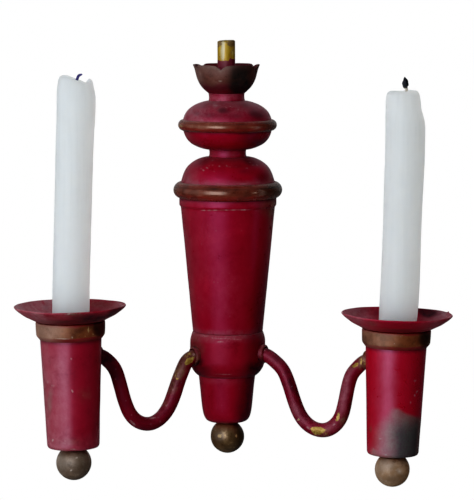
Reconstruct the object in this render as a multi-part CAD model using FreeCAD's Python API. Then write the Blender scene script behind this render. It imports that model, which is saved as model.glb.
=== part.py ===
import FreeCAD, Part
import math
import os

from FreeCAD import Placement, Rotation, Vector

# Two-arm candle wall sconce. Millimetres, +Z up, front towards -Y, wall plane at
# y = 0, origin at the centre of the wall plate's keyhole.

# ---------------------------------------------------------------- dimensions
AXIS_Y = -34.0          # column axis, in front of the wall
ROD_R = 4.0             # tie rod through the column
ROD_HOLE_R = 4.1
ROD_TOP, ROD_BOTTOM = 108.0, -110.5
STUD_R, STUD_BASE, STUD_TOP, STUD_CHAMFER = 5.1, 97.4, 120.6, 0.8
WALL_T = 1.0            # sheet of the column's shells
PETAL_T = 0.9
PETAL_COUNT, PETAL_TOP, PETAL_NOTCH = 6, 106.6, 2.7
PETAL_NOTCH_AZ = -10.0  # azimuth of the front notch from the front, degrees

BULB_R = 25.3
BULB_SEAM_Z = 72.05
UPPER_BEAD = (75.2, 68.9, 28.3)      # top, bottom, largest radius
DOME_R = 27.3
LOWER_BEAD = (39.5, 30.2, 31.2)
CONE_SEAM_Z = 34.85
CONE_RIM_R, CONE_RIM_TOP, CONE_RIM_BOTTOM = 27.85, 30.2, 26.3
CONE_TOP = (27.0, 25.1)
CONE_BOTTOM = (20.14, -46.7)
HUB_R, HUB_TOP, HUB_BOTTOM = 21.6, -46.7, -72.4
HUB_CAVITY_R = 15.6
FINIAL_R, FINIAL_Z = 9.8, -108.2
FIT_GAP = 0.3           # between pieces that part from each other
SHAFT_GAP = 0.05        # running fit of a finial on its stud

ARM_R = 4.0
ARM_FORWARD = 27.0      # each arm's angle forward of the wall's direction
ARM_HUB_Z = {"left": -59.8, "right": -59.0}
# corners (radius from the column axis, z) and bend radii of each arm
ARM_ROUTE = {
    "left": ([(12.6, -59.8), (26.7, -59.8), (54.4, -123.6), (73.8, -62.56), (83.15, -54.8), (87.0, -54.8)],
             [7.0, 15.0, 14.0, 5.0]),
    "right": ([(12.6, -59.0), (24.0, -59.0), (35.4, -67.2), (60.4, -141.2), (75.9, -66.7), (84.35, -58.6), (87.6, -58.6)],
              [10.0, 12.0, 14.6, 12.0, 4.0]),
}
COLLAR_R, COLLAR_T = 5.4, 2.2

# cups: radius of the cup's axis at the pivot height, pivot height, outward lean, rim height
CUP_PIVOT = {"left": (102.0, -55.3), "right": (102.9, -57.4)}
CUP_LEAN = {"left": 1.25, "right": 1.54}
CUP_RIM_Z = {"left": -26.1, "right": -32.2}
# all below are heights under the drip pan's rim, along the cup's own axis
PAN_T = 0.8
PAN_UNDER = [(31.6, 0.0), (30.5, -1.1), (29.2, -2.2), (27.7, -3.3), (26.0, -4.5), (23.7, -5.7), (21.3, -6.9), (19.6, -7.7), (18.0, -7.9)]
PAN_FLOOR = -7.9
BAND_R, BAND_TOP, BAND_LOW, BAND_END = 19.5, -8.2, -15.9, -18.1
CUP_TOP_R, CUP_TOP = 17.1, -8.4
CUP_TAPER_START, CUP_END_R, CUP_END = -19.1, 14.45, -79.8
SOCKET_R_IN, SOCKET_T, SOCKET_TOP, SOCKET_FLOOR = 11.7, 0.6, -6.4, -30.0
BALL_R, BALL_DEPTH = 10.0, -88.5
BALL_STUD_R = 3.0

CANDLE_R = {"left": 10.5, "right": 10.85}
CANDLE_LEAN = {"left": 1.6, "right": 1.95}      # to the right, in the front view
CANDLE_SHIFT = {"left": -0.2, "right": 0.3}     # of its axis in the socket
CANDLE_DEPTH = -29.2
CANDLE_TOP_Z = {"left": 103.0, "right": 94.6}
VIEW_AZ = 4.0           # the lean lies in a plane turned this far from the wall

PLATE_W, PLATE_TOP, PLATE_BOTTOM, PLATE_T, PLATE_CORNER = 24.0, 28.0, -34.0, 2.0, 5.0
KEY_R, KEY_SLOT_R, KEY_SLOT_Z = 4.5, 2.25, 9.0
SCREW_Z = (20.0, -26.0)
SCREW_R, SCREW_HEAD_R, SPACER_R = 2.0, 4.0, 5.0

# ------------------------------------------------------------------ helpers
UP = Vector(0, 0, 1)


def edge_line(a, b):
    return Part.LineSegment(Vector(a[0], 0, a[1]), Vector(b[0], 0, b[1])).toShape()


def edge_spline(pts):
    c = Part.BSplineCurve()
    c.interpolate([Vector(r, 0, z) for r, z in pts])
    return c.toShape()


def edge_arc(a, b, c):
    return Part.Arc(Vector(a[0], 0, a[1]), Vector(b[0], 0, b[1]), Vector(c[0], 0, c[1])).toShape()


def lathe(*runs):
    """Solid of revolution about Z. Each run is (kind, points); gaps are closed with lines."""
    edges, first, last = [], None, None
    for kind, pts in runs:
        if last is not None and math.dist(last, pts[0]) > 1e-6:
            edges.append(edge_line(last, pts[0]))
        if first is None:
            first = pts[0]
        if kind == "line":
            for a, b in zip(pts[:-1], pts[1:]):
                edges.append(edge_line(a, b))
        elif kind == "spline":
            edges.append(edge_spline(pts))
        else:
            edges.append(edge_arc(*pts))
        last = pts[-1]
    if math.dist(last, first) > 1e-6:
        edges.append(edge_line(last, first))
    face = Part.Face(Part.Wire(Part.__sortEdges__(edges)))
    s = face.revolve(Vector(0, 0, 0), UP, 360)
    if s.ShapeType != "Solid":
        s = Part.Solid(s.Shells[0])
    if s.Volume < 0:
        s.reverse()
    return s


def offset(pts, t):
    """Points moved by t to the left of the way they run."""
    out = []
    for i, p in enumerate(pts):
        a, b = pts[max(i - 1, 0)], pts[min(i + 1, len(pts) - 1)]
        dr, dz = b[0] - a[0], b[1] - a[1]
        n = math.hypot(dr, dz)
        out.append((p[0] - dz / n * t, p[1] + dr / n * t))
    return out


def hex_prism(across_flats, height):
    r = across_flats / math.sqrt(3)
    pts = [Vector(r * math.cos(math.radians(60 * k)), r * math.sin(math.radians(60 * k)), 0) for k in range(7)]
    prism = Part.Face(Part.makePolygon(pts)).extrude(Vector(0, 0, height))
    # corners turned down as on a real nut
    crown = lathe(("line", [(0, 0), (r * 0.93, 0), (r * 1.02, 0.55), (r * 1.02, height - 0.55), (r * 0.93, height), (0, height)]))
    return prism.common(crown)


def one_solid(s):
    if s.ShapeType == "Solid":
        return s
    sol = sorted(s.Solids, key=lambda q: -q.Volume)
    return sol[0]


def moved(s, placement):
    c = s.copy()
    c.Placement = placement.multiply(c.Placement)
    return c


COLUMN = Placement(Vector(0, AXIS_Y, 0), Rotation())


def col(s):
    return moved(s, COLUMN)


SIDES = ("left", "right")
SIGN = {"left": -1, "right": 1}


def radial(side):
    a = math.radians(ARM_FORWARD)
    return Vector(SIGN[side] * math.cos(a), -math.sin(a), 0)


def arm_plane(side):
    """Turns a shape made in XZ, with X as the radius, into the arm's own plane."""
    d = radial(side)
    return Placement(Vector(0, AXIS_Y, 0), Rotation(UP, math.degrees(math.atan2(d.y, d.x))))


def cup_frame(side):
    """Places a shape made on Z, with z = 0 at the pan's rim, on the leaning cup's axis."""
    rho, z = CUP_PIVOT[side]
    lean = math.radians(CUP_LEAN[side])
    up = CUP_RIM_Z[side] - z
    local = Placement(Vector(rho + up * math.sin(lean), 0, z + up * math.cos(lean)), Rotation(Vector(0, 1, 0), CUP_LEAN[side]))
    return arm_plane(side).multiply(local)


nodes = {}

# ------------------------------------------------------------------- column
rod = lathe(("line", [(0, ROD_BOTTOM), (ROD_R - 0.6, ROD_BOTTOM), (ROD_R, ROD_BOTTOM + 0.6), (ROD_R, ROD_TOP - 0.6), (ROD_R - 0.6, ROD_TOP), (0, ROD_TOP)]))
nodes["tie_rod"] = col(rod)

stud = lathe(("line", [(ROD_R, STUD_BASE), (STUD_R, STUD_BASE), (STUD_R, STUD_TOP - STUD_CHAMFER), (STUD_R - STUD_CHAMFER, STUD_TOP), (0, STUD_TOP),
                       (0, ROD_TOP + 0.4), (ROD_R, ROD_TOP + 0.4)]))
nodes["top_stud"] = col(stud)

washer = lathe(("line", [(ROD_HOLE_R, 91.2), (8.6, 91.2), (8.6, 92.4), (ROD_HOLE_R, 92.4)]))
nodes["top_washer"] = col(washer)
locknut = moved(hex_prism(15.0, 5.0), Placement(Vector(0, 0, 92.4), Rotation())).cut(rod)
nodes["top_locknut"] = col(one_solid(locknut))

petal_out = [(10.4, 90.3), (12.0, 91.6), (14.3, 94.0), (15.8, 96.4), (16.8, 98.8), (17.45, 101.2), (18.0, 103.4), (18.7, 105.5), (19.3, PETAL_TOP)]
petal_in = offset(petal_out, PETAL_T)
petal_in = [(10.0, 91.2)] + [p for p in petal_in if p[1] > 92.2]
petal = lathe(("spline", petal_out), ("spline", petal_in[::-1]), ("line", [(10.0, 91.2), (ROD_HOLE_R, 91.2), (ROD_HOLE_R, 90.3), (10.4, 90.3)]))
for k in range(PETAL_COUNT):
    half = 180.0 / PETAL_COUNT
    pts = []
    for i in range(-8, 9):
        q = i / 8.0
        t = 18.9 * math.sin(math.radians(half * q))
        z = PETAL_TOP + 0.05 - PETAL_NOTCH * (1 - abs(q)) ** 2.0
        pts.append(Vector(5.0, t, z))
    pts = pts + [Vector(5.0, pts[-1].y, PETAL_TOP + 3), Vector(5.0, pts[0].y, PETAL_TOP + 3), pts[0]]
    cutter = Part.Face(Part.makePolygon(pts)).extrude(Vector(18, 0, 0))
    az = -90.0 + PETAL_NOTCH_AZ + 360.0 / PETAL_COUNT * k
    petal = petal.cut(moved(cutter, Placement(Vector(), Rotation(UP, az))))
nodes["petal_cup"] = col(one_solid(petal))

nodes["upper_neck"] = col(lathe(("line", [(ROD_HOLE_R, 86.0), (10.4, 86.0), (10.4, 90.3), (ROD_HOLE_R, 90.3)])))

bulb_up = [(10.4, 86.0), (15.3, 84.85), (20.2, 82.5), (22.8, 80.3), (24.35, 78.0), (BULB_R, UPPER_BEAD[0])]
bulb_up_in = [p for p in offset(bulb_up, -WALL_T)]
bulb_up_in[0] = (10.2, 85.0)
bulb_up_in[-1] = (BULB_R - WALL_T, UPPER_BEAD[0])
nodes["bulb_upper_shell"] = col(lathe(
    ("line", [(ROD_HOLE_R, 86.0), (10.4, 86.0)]), ("spline", bulb_up),
    ("line", [(BULB_R, UPPER_BEAD[0]), (BULB_R, BULB_SEAM_Z), (BULB_R - WALL_T, BULB_SEAM_Z), (BULB_R - WALL_T, UPPER_BEAD[0])]),
    ("spline", bulb_up_in[::-1]), ("line", [(10.2, 85.0), (ROD_HOLE_R, 85.0), (ROD_HOLE_R, 86.0)])))

nodes["upper_bead_ring"] = col(lathe(
    ("arc", [(BULB_R, UPPER_BEAD[1]), (UPPER_BEAD[2], (UPPER_BEAD[0] + UPPER_BEAD[1]) / 2), (BULB_R, UPPER_BEAD[0])]),
    ("line", [(BULB_R, UPPER_BEAD[0]), (BULB_R, UPPER_BEAD[1])])))

bulb_low = [(BULB_R, UPPER_BEAD[1]), (24.6, 66.5), (23.4, 64.2), (21.35, 61.9), (17.4, 59.65), (13.8, 58.45), (10.7, 58.0)]
bulb_low_in = offset(bulb_low, -WALL_T)
bulb_low_in[0] = (BULB_R - WALL_T, UPPER_BEAD[1])
bulb_low_in[-1] = (10.5, 59.0)
nodes["bulb_lower_shell"] = col(lathe(
    ("line", [(BULB_R, BULB_SEAM_Z), (BULB_R, UPPER_BEAD[1])]), ("spline", bulb_low),
    ("line", [(10.7, 58.0), (ROD_HOLE_R, 58.0), (ROD_HOLE_R, 59.0), (10.5, 59.0)]), ("spline", bulb_low_in[::-1]),
    ("line", [(BULB_R - WALL_T, UPPER_BEAD[1]), (BULB_R - WALL_T, BULB_SEAM_Z), (BULB_R, BULB_SEAM_Z)])))

nodes["lower_neck"] = col(lathe(("line", [(ROD_HOLE_R, 53.9), (10.7, 53.9), (10.7, 58.0), (ROD_HOLE_R, 58.0)])))

dome = [(10.7, 53.9), (16.5, 52.75), (20.7, 50.4), (23.3, 48.0), (25.2, 44.7), (26.35, 41.4), (DOME_R, 37.6)]
dome_in = offset(dome, -WALL_T)
dome_in[0] = (10.5, 52.9)
dome_in[-1] = (DOME_R - WALL_T, 37.6)
nodes["shoulder_dome"] = col(lathe(
    ("line", [(ROD_HOLE_R, 53.9), (10.7, 53.9)]), ("spline", dome),
    ("line", [(DOME_R, 37.6), (DOME_R, CONE_SEAM_Z), (DOME_R - WALL_T, CONE_SEAM_Z), (DOME_R - WALL_T, 37.6)]),
    ("spline", dome_in[::-1]), ("line", [(10.5, 52.9), (ROD_HOLE_R, 52.9), (ROD_HOLE_R, 53.9)])))

# the ring sits on the dome's skirt and on the cone's skirt; above 37.6 it clears the curving dome
bead_ring = lathe(
    ("arc", [(DOME_R, LOWER_BEAD[1]), (LOWER_BEAD[2], (LOWER_BEAD[0] + LOWER_BEAD[1]) / 2 - 0.2), (DOME_R, LOWER_BEAD[0])]),
    ("line", [(DOME_R, LOWER_BEAD[0]), (DOME_R, LOWER_BEAD[1])]))
nodes["lower_bead_ring"] = col(bead_ring)

cone_solid = lathe(("line", [(0, CONE_SEAM_Z), (DOME_R, CONE_SEAM_Z), (DOME_R, CONE_RIM_TOP), (CONE_RIM_R, CONE_RIM_TOP), (CONE_RIM_R, CONE_RIM_BOTTOM),
                             CONE_TOP, CONE_BOTTOM, (0, CONE_BOTTOM[1])]))
cone_inside = lathe(("line", [(0, CONE_SEAM_Z + 1), (DOME_R - WALL_T, CONE_SEAM_Z + 1), (DOME_R - WALL_T, CONE_RIM_BOTTOM), (CONE_TOP[0] - WALL_T, CONE_TOP[1]),
                              (CONE_BOTTOM[0] - WALL_T, CONE_BOTTOM[1]), (CONE_BOTTOM[0] - WALL_T, CONE_BOTTOM[1] - 1), (0, CONE_BOTTOM[1] - 1)]))
main_cone = cone_solid.cut(cone_inside)

hub_solid = lathe(("line", [(0, HUB_BOTTOM), (16.6, HUB_BOTTOM), (HUB_R, -68.5), (HUB_R, -52.0), (21.45, -51.0), (20.2, HUB_TOP), (0, HUB_TOP)]))
hub = lathe(("line", [(ROD_HOLE_R, HUB_BOTTOM), (16.6, HUB_BOTTOM), (HUB_R, -68.5), (HUB_R, -52.0), (21.45, -51.0), (20.2, HUB_TOP), (18.9, HUB_TOP),
                      (18.9, -43.7), (HUB_CAVITY_R, -43.7), (HUB_CAVITY_R, -69.4), (ROD_HOLE_R, -69.4)]))

low_out = [(16.3, HUB_BOTTOM), (15.45, -80.4), (14.75, -87.5), (14.2, -92.1)]
low_round = [(14.2, -92.1), (13.75, -94.5), (12.95, -96.8), (11.9, -98.3), (9.6, -99.5)]
low_in = [(13.2, -92.0), (12.75, -94.2), (11.95, -96.2), (10.9, -97.6), (9.2, -98.3)]
nodes["lower_cone"] = col(lathe(
    ("line", low_out), ("spline", low_round), ("line", [(9.6, -99.5), (ROD_HOLE_R, -99.5), (ROD_HOLE_R, -98.3), (9.2, -98.3)]),
    ("spline", low_in[::-1]), ("line", [(13.2, -92.0), (13.75, -87.5), (14.45, -80.4), (15.3, HUB_BOTTOM), (16.3, HUB_BOTTOM)])))


def ball(radius, depth, seat, hole_r, hole_end):
    """Ball on a shaft from above: a flat at the seat height, and a blind hole."""
    flat_r = math.sqrt(radius ** 2 - (seat - depth) ** 2)
    return lathe(("arc", [(0, depth - radius), (radius, depth), (flat_r, seat)]), ("line", [(flat_r, seat), (hole_r, seat), (hole_r, hole_end), (0, hole_end), (0, depth - radius)]))


nodes["bottom_finial"] = col(ball(FINIAL_R, FINIAL_Z, -99.5 - FIT_GAP, ROD_R + SHAFT_GAP, ROD_BOTTOM - 0.5))

# --------------------------------------------------------------------- arms


def arm_wire(route, radii):
    pts = [Vector(r, 0, z) for r, z in route]
    edges, start = [], pts[0]
    for i, rad in enumerate(radii):
        a, b, c = pts[i], pts[i + 1], pts[i + 2]
        u, v = (a - b).normalize(), (c - b).normalize()
        half = u.getAngle(v) / 2
        cut = rad / math.tan(half)
        p, q = b + u * cut, b + v * cut
        mid = (u + v).normalize()
        m = b + mid * (rad / math.sin(half) - rad)
        edges.append(Part.LineSegment(start, p).toShape())
        edges.append(Part.Arc(p, m, q).toShape())
        start = q
    edges.append(Part.LineSegment(start, pts[-1]).toShape())
    return Part.Wire(edges)


def arm_shape(side):
    route, radii = ARM_ROUTE[side]
    wire = arm_wire(route, radii)
    ring = Part.Wire([Part.Circle(Vector(route[0][0], 0, route[0][1]), Vector(1, 0, 0), ARM_R).toShape()])
    s = wire.makePipeShell([ring], True, False)
    print(side, "arm: length", round(wire.Length, 2), "volume", round(s.Volume, 1), "section x length", round(math.pi * ARM_R ** 2 * wire.Length, 1))
    return s


SIDEWAYS = Rotation(Vector(0, 1, 0), 90)   # Z onto X
hub_nuts, stud_nuts, finial_studs = [], [], []
for side in SIDES:
    plane = arm_plane(side)
    back = COLUMN.inverse()
    arm_local = arm_shape(side)
    arm = moved(arm_local, plane)
    z = ARM_HUB_Z[side]

    # hub end: seat for the nut, nut, collar
    seat = moved(Part.makeCylinder(8.0, 9.6), Placement(Vector(8.0, 0, z), SIDEWAYS))
    arm_col = moved(arm, back)
    seat_col = moved(moved(seat, plane), back)
    hub = one_solid(hub.cut(seat_col).cut(arm_col))
    nut = moved(hex_prism(13.0, 4.0), Placement(Vector(13.6, 0, z), SIDEWAYS)).cut(arm_local)
    hub_nuts.append(moved(one_solid(nut), plane))
    collar = lathe(("line", [(0, -2.6), (COLLAR_R, -2.6), (COLLAR_R, COLLAR_T - 0.7), (COLLAR_R - 0.25, COLLAR_T - 0.2), (COLLAR_R - 0.7, COLLAR_T), (0, COLLAR_T)]))
    collar = moved(collar, Placement(Vector(HUB_R, 0, z), SIDEWAYS)).cut(hub_solid).cut(arm_local)
    nodes[side + "_hub_collar"] = moved(one_solid(collar), plane)

    # cup, pan, socket and finial on the cup's own axis
    frame = cup_frame(side)
    wall = 1.0
    cup_solid = lathe(("line", [(0, CUP_TOP), (CUP_TOP_R, CUP_TOP), (CUP_TOP_R, CUP_TAPER_START), (CUP_END_R, CUP_END + 1.2), (CUP_END_R - 0.4, CUP_END + 0.4), (CUP_END_R - 1.2, CUP_END), (0, CUP_END)]))
    cup_hollow = lathe(("line", [(0, CUP_TOP + 1), (CUP_TOP_R - wall, CUP_TOP + 1), (CUP_TOP_R - wall, CUP_TAPER_START), (CUP_END_R - wall, CUP_END + 2.4), (CUP_END_R - wall - 1.2, CUP_END + 1.2), (0, CUP_END + 1.2)]))
    stud_top = CUP_END + 6.4
    fin_stud = lathe(("line", [(0, BALL_DEPTH - 2.0), (BALL_STUD_R - 0.5, BALL_DEPTH - 2.0), (BALL_STUD_R, BALL_DEPTH - 1.5), (BALL_STUD_R, stud_top - 0.5), (BALL_STUD_R - 0.5, stud_top), (0, stud_top)]))
    cup = cup_solid.cut(cup_hollow).cut(fin_stud)
    cup_world = moved(cup, frame)
    cup_solid_world = moved(cup_solid, frame)
    cup_world = one_solid(cup_world.cut(arm))
    nodes[side + "_cup"] = cup_world

    # collar at the cup end, along the arm's last run
    route = ARM_ROUTE[side][0]
    end_z = route[-1][1]
    rho, pivot_z = CUP_PIVOT[side]
    lean = math.tan(math.radians(CUP_LEAN[side]))
    axis_rho = rho + (end_z - pivot_z) * lean
    depth = end_z - CUP_RIM_Z[side]
    face_rho = axis_rho - (CUP_TOP_R - (CUP_TAPER_START - depth) * (CUP_TOP_R - CUP_END_R) / (CUP_TAPER_START - CUP_END - 1.2))
    cc = lathe(("line", [(0, -1.9), (COLLAR_R - 0.8, -1.9), (COLLAR_R - 0.3, -1.7), (COLLAR_R, -1.2), (COLLAR_R, 2.6), (0, 2.6)]))
    cc = moved(cc, Placement(Vector(face_rho, 0, end_z), SIDEWAYS))
    cc = moved(cc, plane).cut(cup_solid_world).cut(arm)
    nodes[side + "_cup_collar"] = one_solid(cc)
    nodes[side + "_arm"] = arm

    band = lathe(("line", [(CUP_TOP_R, BAND_TOP), (BAND_R - 0.5, BAND_TOP), (BAND_R, BAND_TOP - 0.5), (BAND_R - 0.3, BAND_LOW), (17.5, BAND_END), (CUP_TOP_R, BAND_END)]))
    nodes[side + "_band"] = moved(band, frame)

    pan_top = offset(PAN_UNDER, -PAN_T)
    pan_top[0] = (31.25, 0.75)
    pan_top[-1] = (18.0, PAN_FLOOR + PAN_T)
    socket_r = SOCKET_R_IN + SOCKET_T
    pan = lathe(("spline", PAN_UNDER), ("line", [(18.0, PAN_FLOOR), (socket_r, PAN_FLOOR), (socket_r, PAN_FLOOR + PAN_T), (18.0, PAN_FLOOR + PAN_T)]),
                ("spline", pan_top[::-1]), ("line", [pan_top[0], PAN_UNDER[0]]))
    nodes[side + "_drip_pan"] = moved(pan, frame)
    socket = lathe(("line", [(0, SOCKET_FLOOR - 0.8), (socket_r, SOCKET_FLOOR - 0.8), (socket_r, SOCKET_TOP), (SOCKET_R_IN, SOCKET_TOP), (SOCKET_R_IN, SOCKET_FLOOR), (0, SOCKET_FLOOR)]))
    nodes[side + "_candle_socket"] = moved(socket, frame)

    nodes[side + "_finial"] = moved(ball(BALL_R, BALL_DEPTH, CUP_END - FIT_GAP, BALL_STUD_R + SHAFT_GAP, BALL_DEPTH - 2.5), frame)
    finial_studs.append(moved(fin_stud, frame))
    snut = moved(hex_prism(10.0, 4.0), Placement(Vector(0, 0, CUP_END + 1.2), Rotation())).cut(fin_stud)
    stud_nuts.append(moved(one_solid(snut), frame))

    # candle and wick, leaning in the plane of the front view
    va = math.radians(VIEW_AZ)
    across = Vector(math.cos(va), -math.sin(va), 0)
    mid = frame.multVec(Vector(0, 0, (SOCKET_TOP + CANDLE_DEPTH) / 2))
    mid = mid + across * CANDLE_SHIFT[side]
    lean = math.radians(CANDLE_LEAN[side])
    axis = across * math.sin(lean) + UP * math.cos(lean)
    floor = frame.multVec(Vector(0, 0, CANDLE_DEPTH))
    base = mid - axis * ((mid.z - floor.z) / axis.z)
    turn = Rotation(Vector(across.y, -across.x, 0).negative(), CANDLE_LEAN[side])
    stand = Placement(base, turn.multiply(Rotation(UP, -VIEW_AZ)))
    tall = (CANDLE_TOP_Z[side] - base.z) / axis.z
    r = CANDLE_R[side]
    if side == "left":
        candle = lathe(("line", [(0, 0), (r - 0.6, 0), (r, 0.6), (r, tall - 30.0), (r + 0.25, tall - 14.0), (r - 0.3, tall - 8.0), (r - 1.9, tall), (0, tall)]))
        # burnt down on a slope, lower on the right
        wedge = Part.Face(Part.makePolygon([Vector(-14, -14, tall + 0.9), Vector(14, -14, tall - 5.5), Vector(14, -14, tall + 9), Vector(-14, -14, tall + 9), Vector(-14, -14, tall + 0.9)])).extrude(Vector(0, 28, 0))
        candle = candle.cut(wedge)
        foot = tall - 12.0
        tip = tall - 2.3
        p0, p1, p2, p3, p4 = Vector(0.6, 0, foot), Vector(0.6, 0, tip + 0.6), Vector(1.05, 0, tip + 1.95), Vector(2.2, 0, tip + 2.75), Vector(3.4, 0, tip + 2.95)
        path = Part.Wire([Part.LineSegment(p0, p1).toShape(), Part.Arc(p1, Vector(1.35, 0, tip + 2.35), Vector(3.3, 0, tip + 3.15)).toShape()])
        ring = Part.Wire([Part.Circle(p0, UP, 0.7).toShape()])
        wick = path.makePipeShell([ring], True, False)
    else:
        candle = lathe(("line", [(0, 0), (r - 0.6, 0), (r, 0.6), (r, tall - 22.0), (r - 1.1, tall - 8.0), (r - 1.7, tall - 1.0), (r - 2.6, tall), (0, tall)]))
        foot = tall - 9.0
        wick = lathe(("line", [(0, foot), (0.75, foot), (0.75, tall + 0.9)]), ("spline", [(0.75, tall + 0.9), (1.7, tall + 2.2), (1.9, tall + 3.6), (1.4, tall + 5.4), (0.3, tall + 7.4)]), ("line", [(0.3, tall + 7.4), (0, tall + 7.4), (0, foot)]))
    candle = one_solid(candle.cut(wick))
    nodes[side + "_candle"] = moved(candle, stand)
    nodes[side + "_wick"] = moved(wick, stand)
    print(side, "candle base", base, "axis", axis, "length", round(tall, 2))
    print(side, "cup axis", frame.Rotation.multVec(UP), "ball", frame.multVec(Vector(0, 0, BALL_DEPTH)), "rim", frame.multVec(Vector(0, 0, 0)))

nodes["arm_hub"] = col(hub)
nodes["hub_nuts"] = Part.makeCompound(hub_nuts)
nodes["finial_studs"] = Part.makeCompound(finial_studs)
nodes["finial_stud_nuts"] = Part.makeCompound(stud_nuts)

# --------------------------------------------------------------- wall fixing
cone_world = col(cone_solid)
inside_world = col(cone_inside)
TO_FRONT = Rotation(Vector(1, 0, 0), 90)     # Z onto -Y
c = PLATE_CORNER
w, t, b = PLATE_W / 2, PLATE_TOP, PLATE_BOTTOM


def arc3(a, m, e):
    return Part.Arc(Vector(a[0], 0, a[1]), Vector(m[0], 0, m[1]), Vector(e[0], 0, e[1])).toShape()


k = c * (1 - math.sqrt(0.5))
outline = [edge_line((-w + c, b), (w - c, b)), arc3((w - c, b), (w - k, b + k), (w, b + c)), edge_line((w, b + c), (w, t - c)), arc3((w, t - c), (w - k, t - k), (w - c, t)),
           edge_line((w - c, t), (-w + c, t)), arc3((-w + c, t), (-w + k, t - k), (-w, t - c)), edge_line((-w, t - c), (-w, b + c)), arc3((-w, b + c), (-w + k, b + k), (-w + c, b))]
plate = Part.Face(Part.Wire(outline)).extrude(Vector(0, -PLATE_T, 0))
key = Part.makeCylinder(KEY_R, PLATE_T + 2, Vector(0, 1, 0), Vector(0, -1, 0))
slot = Part.makeBox(2 * KEY_SLOT_R, PLATE_T + 2, KEY_SLOT_Z, Vector(-KEY_SLOT_R, -PLATE_T - 1, 0))
slot_end = Part.makeCylinder(KEY_SLOT_R, PLATE_T + 2, Vector(0, 1, KEY_SLOT_Z), Vector(0, -1, 0))
plate = plate.cut(key).cut(slot).cut(slot_end)

screws, spacers, nuts = [], [], []
holes = None
for z in SCREW_Z:
    cone_r = CONE_BOTTOM[0] + (z - CONE_BOTTOM[1]) * (CONE_TOP[0] - CONE_BOTTOM[0]) / (CONE_TOP[1] - CONE_BOTTOM[1])
    reach = -AXIS_Y - cone_r + WALL_T + 5.2
    at = Placement(Vector(0, 0, z), TO_FRONT)
    screw = lathe(("line", [(0, 0), (SCREW_HEAD_R, 0), (SCREW_HEAD_R, 0.25), (SCREW_R, PLATE_T), (SCREW_R, reach - 0.4), (SCREW_R - 0.4, reach), (0, reach)]))
    # cross slot, cut in the head on the wall side
    screw = screw.cut(Part.makeBox(0.9, 5.0, 0.9, Vector(-0.45, -2.5, 0))).cut(Part.makeBox(5.0, 0.9, 0.9, Vector(-2.5, -0.45, 0)))
    head = lathe(("line", [(0, 0), (SCREW_HEAD_R, 0), (SCREW_HEAD_R, 0.25), (SCREW_R, PLATE_T), (SCREW_R, reach), (0, reach)]))
    screws.append(moved(screw, at))
    plate = plate.cut(moved(head, at))
    drill = moved(Part.makeCylinder(SCREW_R + 0.15, reach + 1), at)
    tube = moved(Part.makeCylinder(SPACER_R, reach - PLATE_T, Vector(0, 0, PLATE_T)), at).cut(cone_world).cut(drill)
    spacers.append(one_solid(tube))
    nut = moved(hex_prism(7.0, 5.0), Placement(Vector(0, -(reach - 1.0) + 5.0, z), TO_FRONT)).common(inside_world).cut(moved(head, at))
    nuts.append(one_solid(nut))
    main_cone = main_cone.cut(moved(drill, COLUMN.inverse()))
nodes["main_cone"] = col(one_solid(main_cone))
nodes["wall_plate"] = one_solid(plate)
nodes["plate_screws"] = Part.makeCompound(screws)
nodes["plate_spacers"] = Part.makeCompound(spacers)
nodes["plate_screw_nuts"] = Part.makeCompound(nuts)

# -------------------------------------------------------------------- output
os.makedirs("parts", exist_ok=True)
total = None
for name in sorted(nodes):
    s = nodes[name]
    if not s.isValid():
        print("not valid:", name)
    if s.Volume <= 0:
        print("no volume:", name)
    s.exportStep("parts/" + name + ".step")
    bb = s.BoundBox
    print("%-20s solids %d volume %10.1f  x %.1f..%.1f y %.1f..%.1f z %.1f..%.1f" % (name, len(s.Solids), s.Volume, bb.XMin, bb.XMax, bb.YMin, bb.YMax, bb.ZMin, bb.ZMax))
print(len(nodes), "nodes")
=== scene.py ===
import math

import bmesh
import bpy
import numpy as np
from mathutils import Matrix, Vector


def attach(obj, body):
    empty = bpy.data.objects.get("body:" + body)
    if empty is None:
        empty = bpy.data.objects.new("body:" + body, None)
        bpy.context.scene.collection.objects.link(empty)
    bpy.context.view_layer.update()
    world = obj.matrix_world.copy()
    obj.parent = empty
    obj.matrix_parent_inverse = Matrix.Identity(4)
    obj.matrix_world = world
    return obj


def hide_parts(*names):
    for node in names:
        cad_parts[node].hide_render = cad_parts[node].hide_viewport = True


# Two-arm candle wall sconce: red paint over brass, bronze trim, two used candles.
# Lengths below are millimetres in the part's own frame: +Z up, front towards -Y,
# the column's axis at y = -34.

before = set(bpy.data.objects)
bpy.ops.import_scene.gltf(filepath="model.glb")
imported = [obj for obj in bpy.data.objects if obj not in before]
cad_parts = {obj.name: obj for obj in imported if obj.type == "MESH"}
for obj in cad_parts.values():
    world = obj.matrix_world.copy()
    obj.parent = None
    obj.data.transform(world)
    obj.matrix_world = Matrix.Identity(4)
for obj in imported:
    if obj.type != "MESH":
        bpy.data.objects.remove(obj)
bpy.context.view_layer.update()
MM = 0.001
TAU = 2 * math.pi

# ------------------------------------------------------------------ the camera
ELEV = math.radians(5.9)
FWD = np.array([0.0698 * math.cos(ELEV), 0.9976 * math.cos(ELEV), -math.sin(ELEV)])
FWD /= np.linalg.norm(FWD)
SIDE = np.array([0.9976, -0.0698, 0.0])
SIDE /= np.linalg.norm(SIDE)
OVER = np.cross(SIDE, FWD)
TARGET = np.array([5.287, -34.37, 0.0])
EYE = TARGET - 1725.0 * FWD


def pix(p):
    """Where points (mm) fall in the 474 x 500 image, to place marks on the metal."""
    d = np.asarray(p, float) - EYE
    depth = d @ FWD
    return 237 + 3000 * (d @ SIDE) / depth, 250 - 3000 * (d @ OVER) / depth


# --------------------------------------------------------------- small numerics
def sstep(a, b, x):
    t = np.clip((np.asarray(x, float) - a) / (b - a), 0, 1)
    return t * t * (3 - 2 * t)


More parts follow.
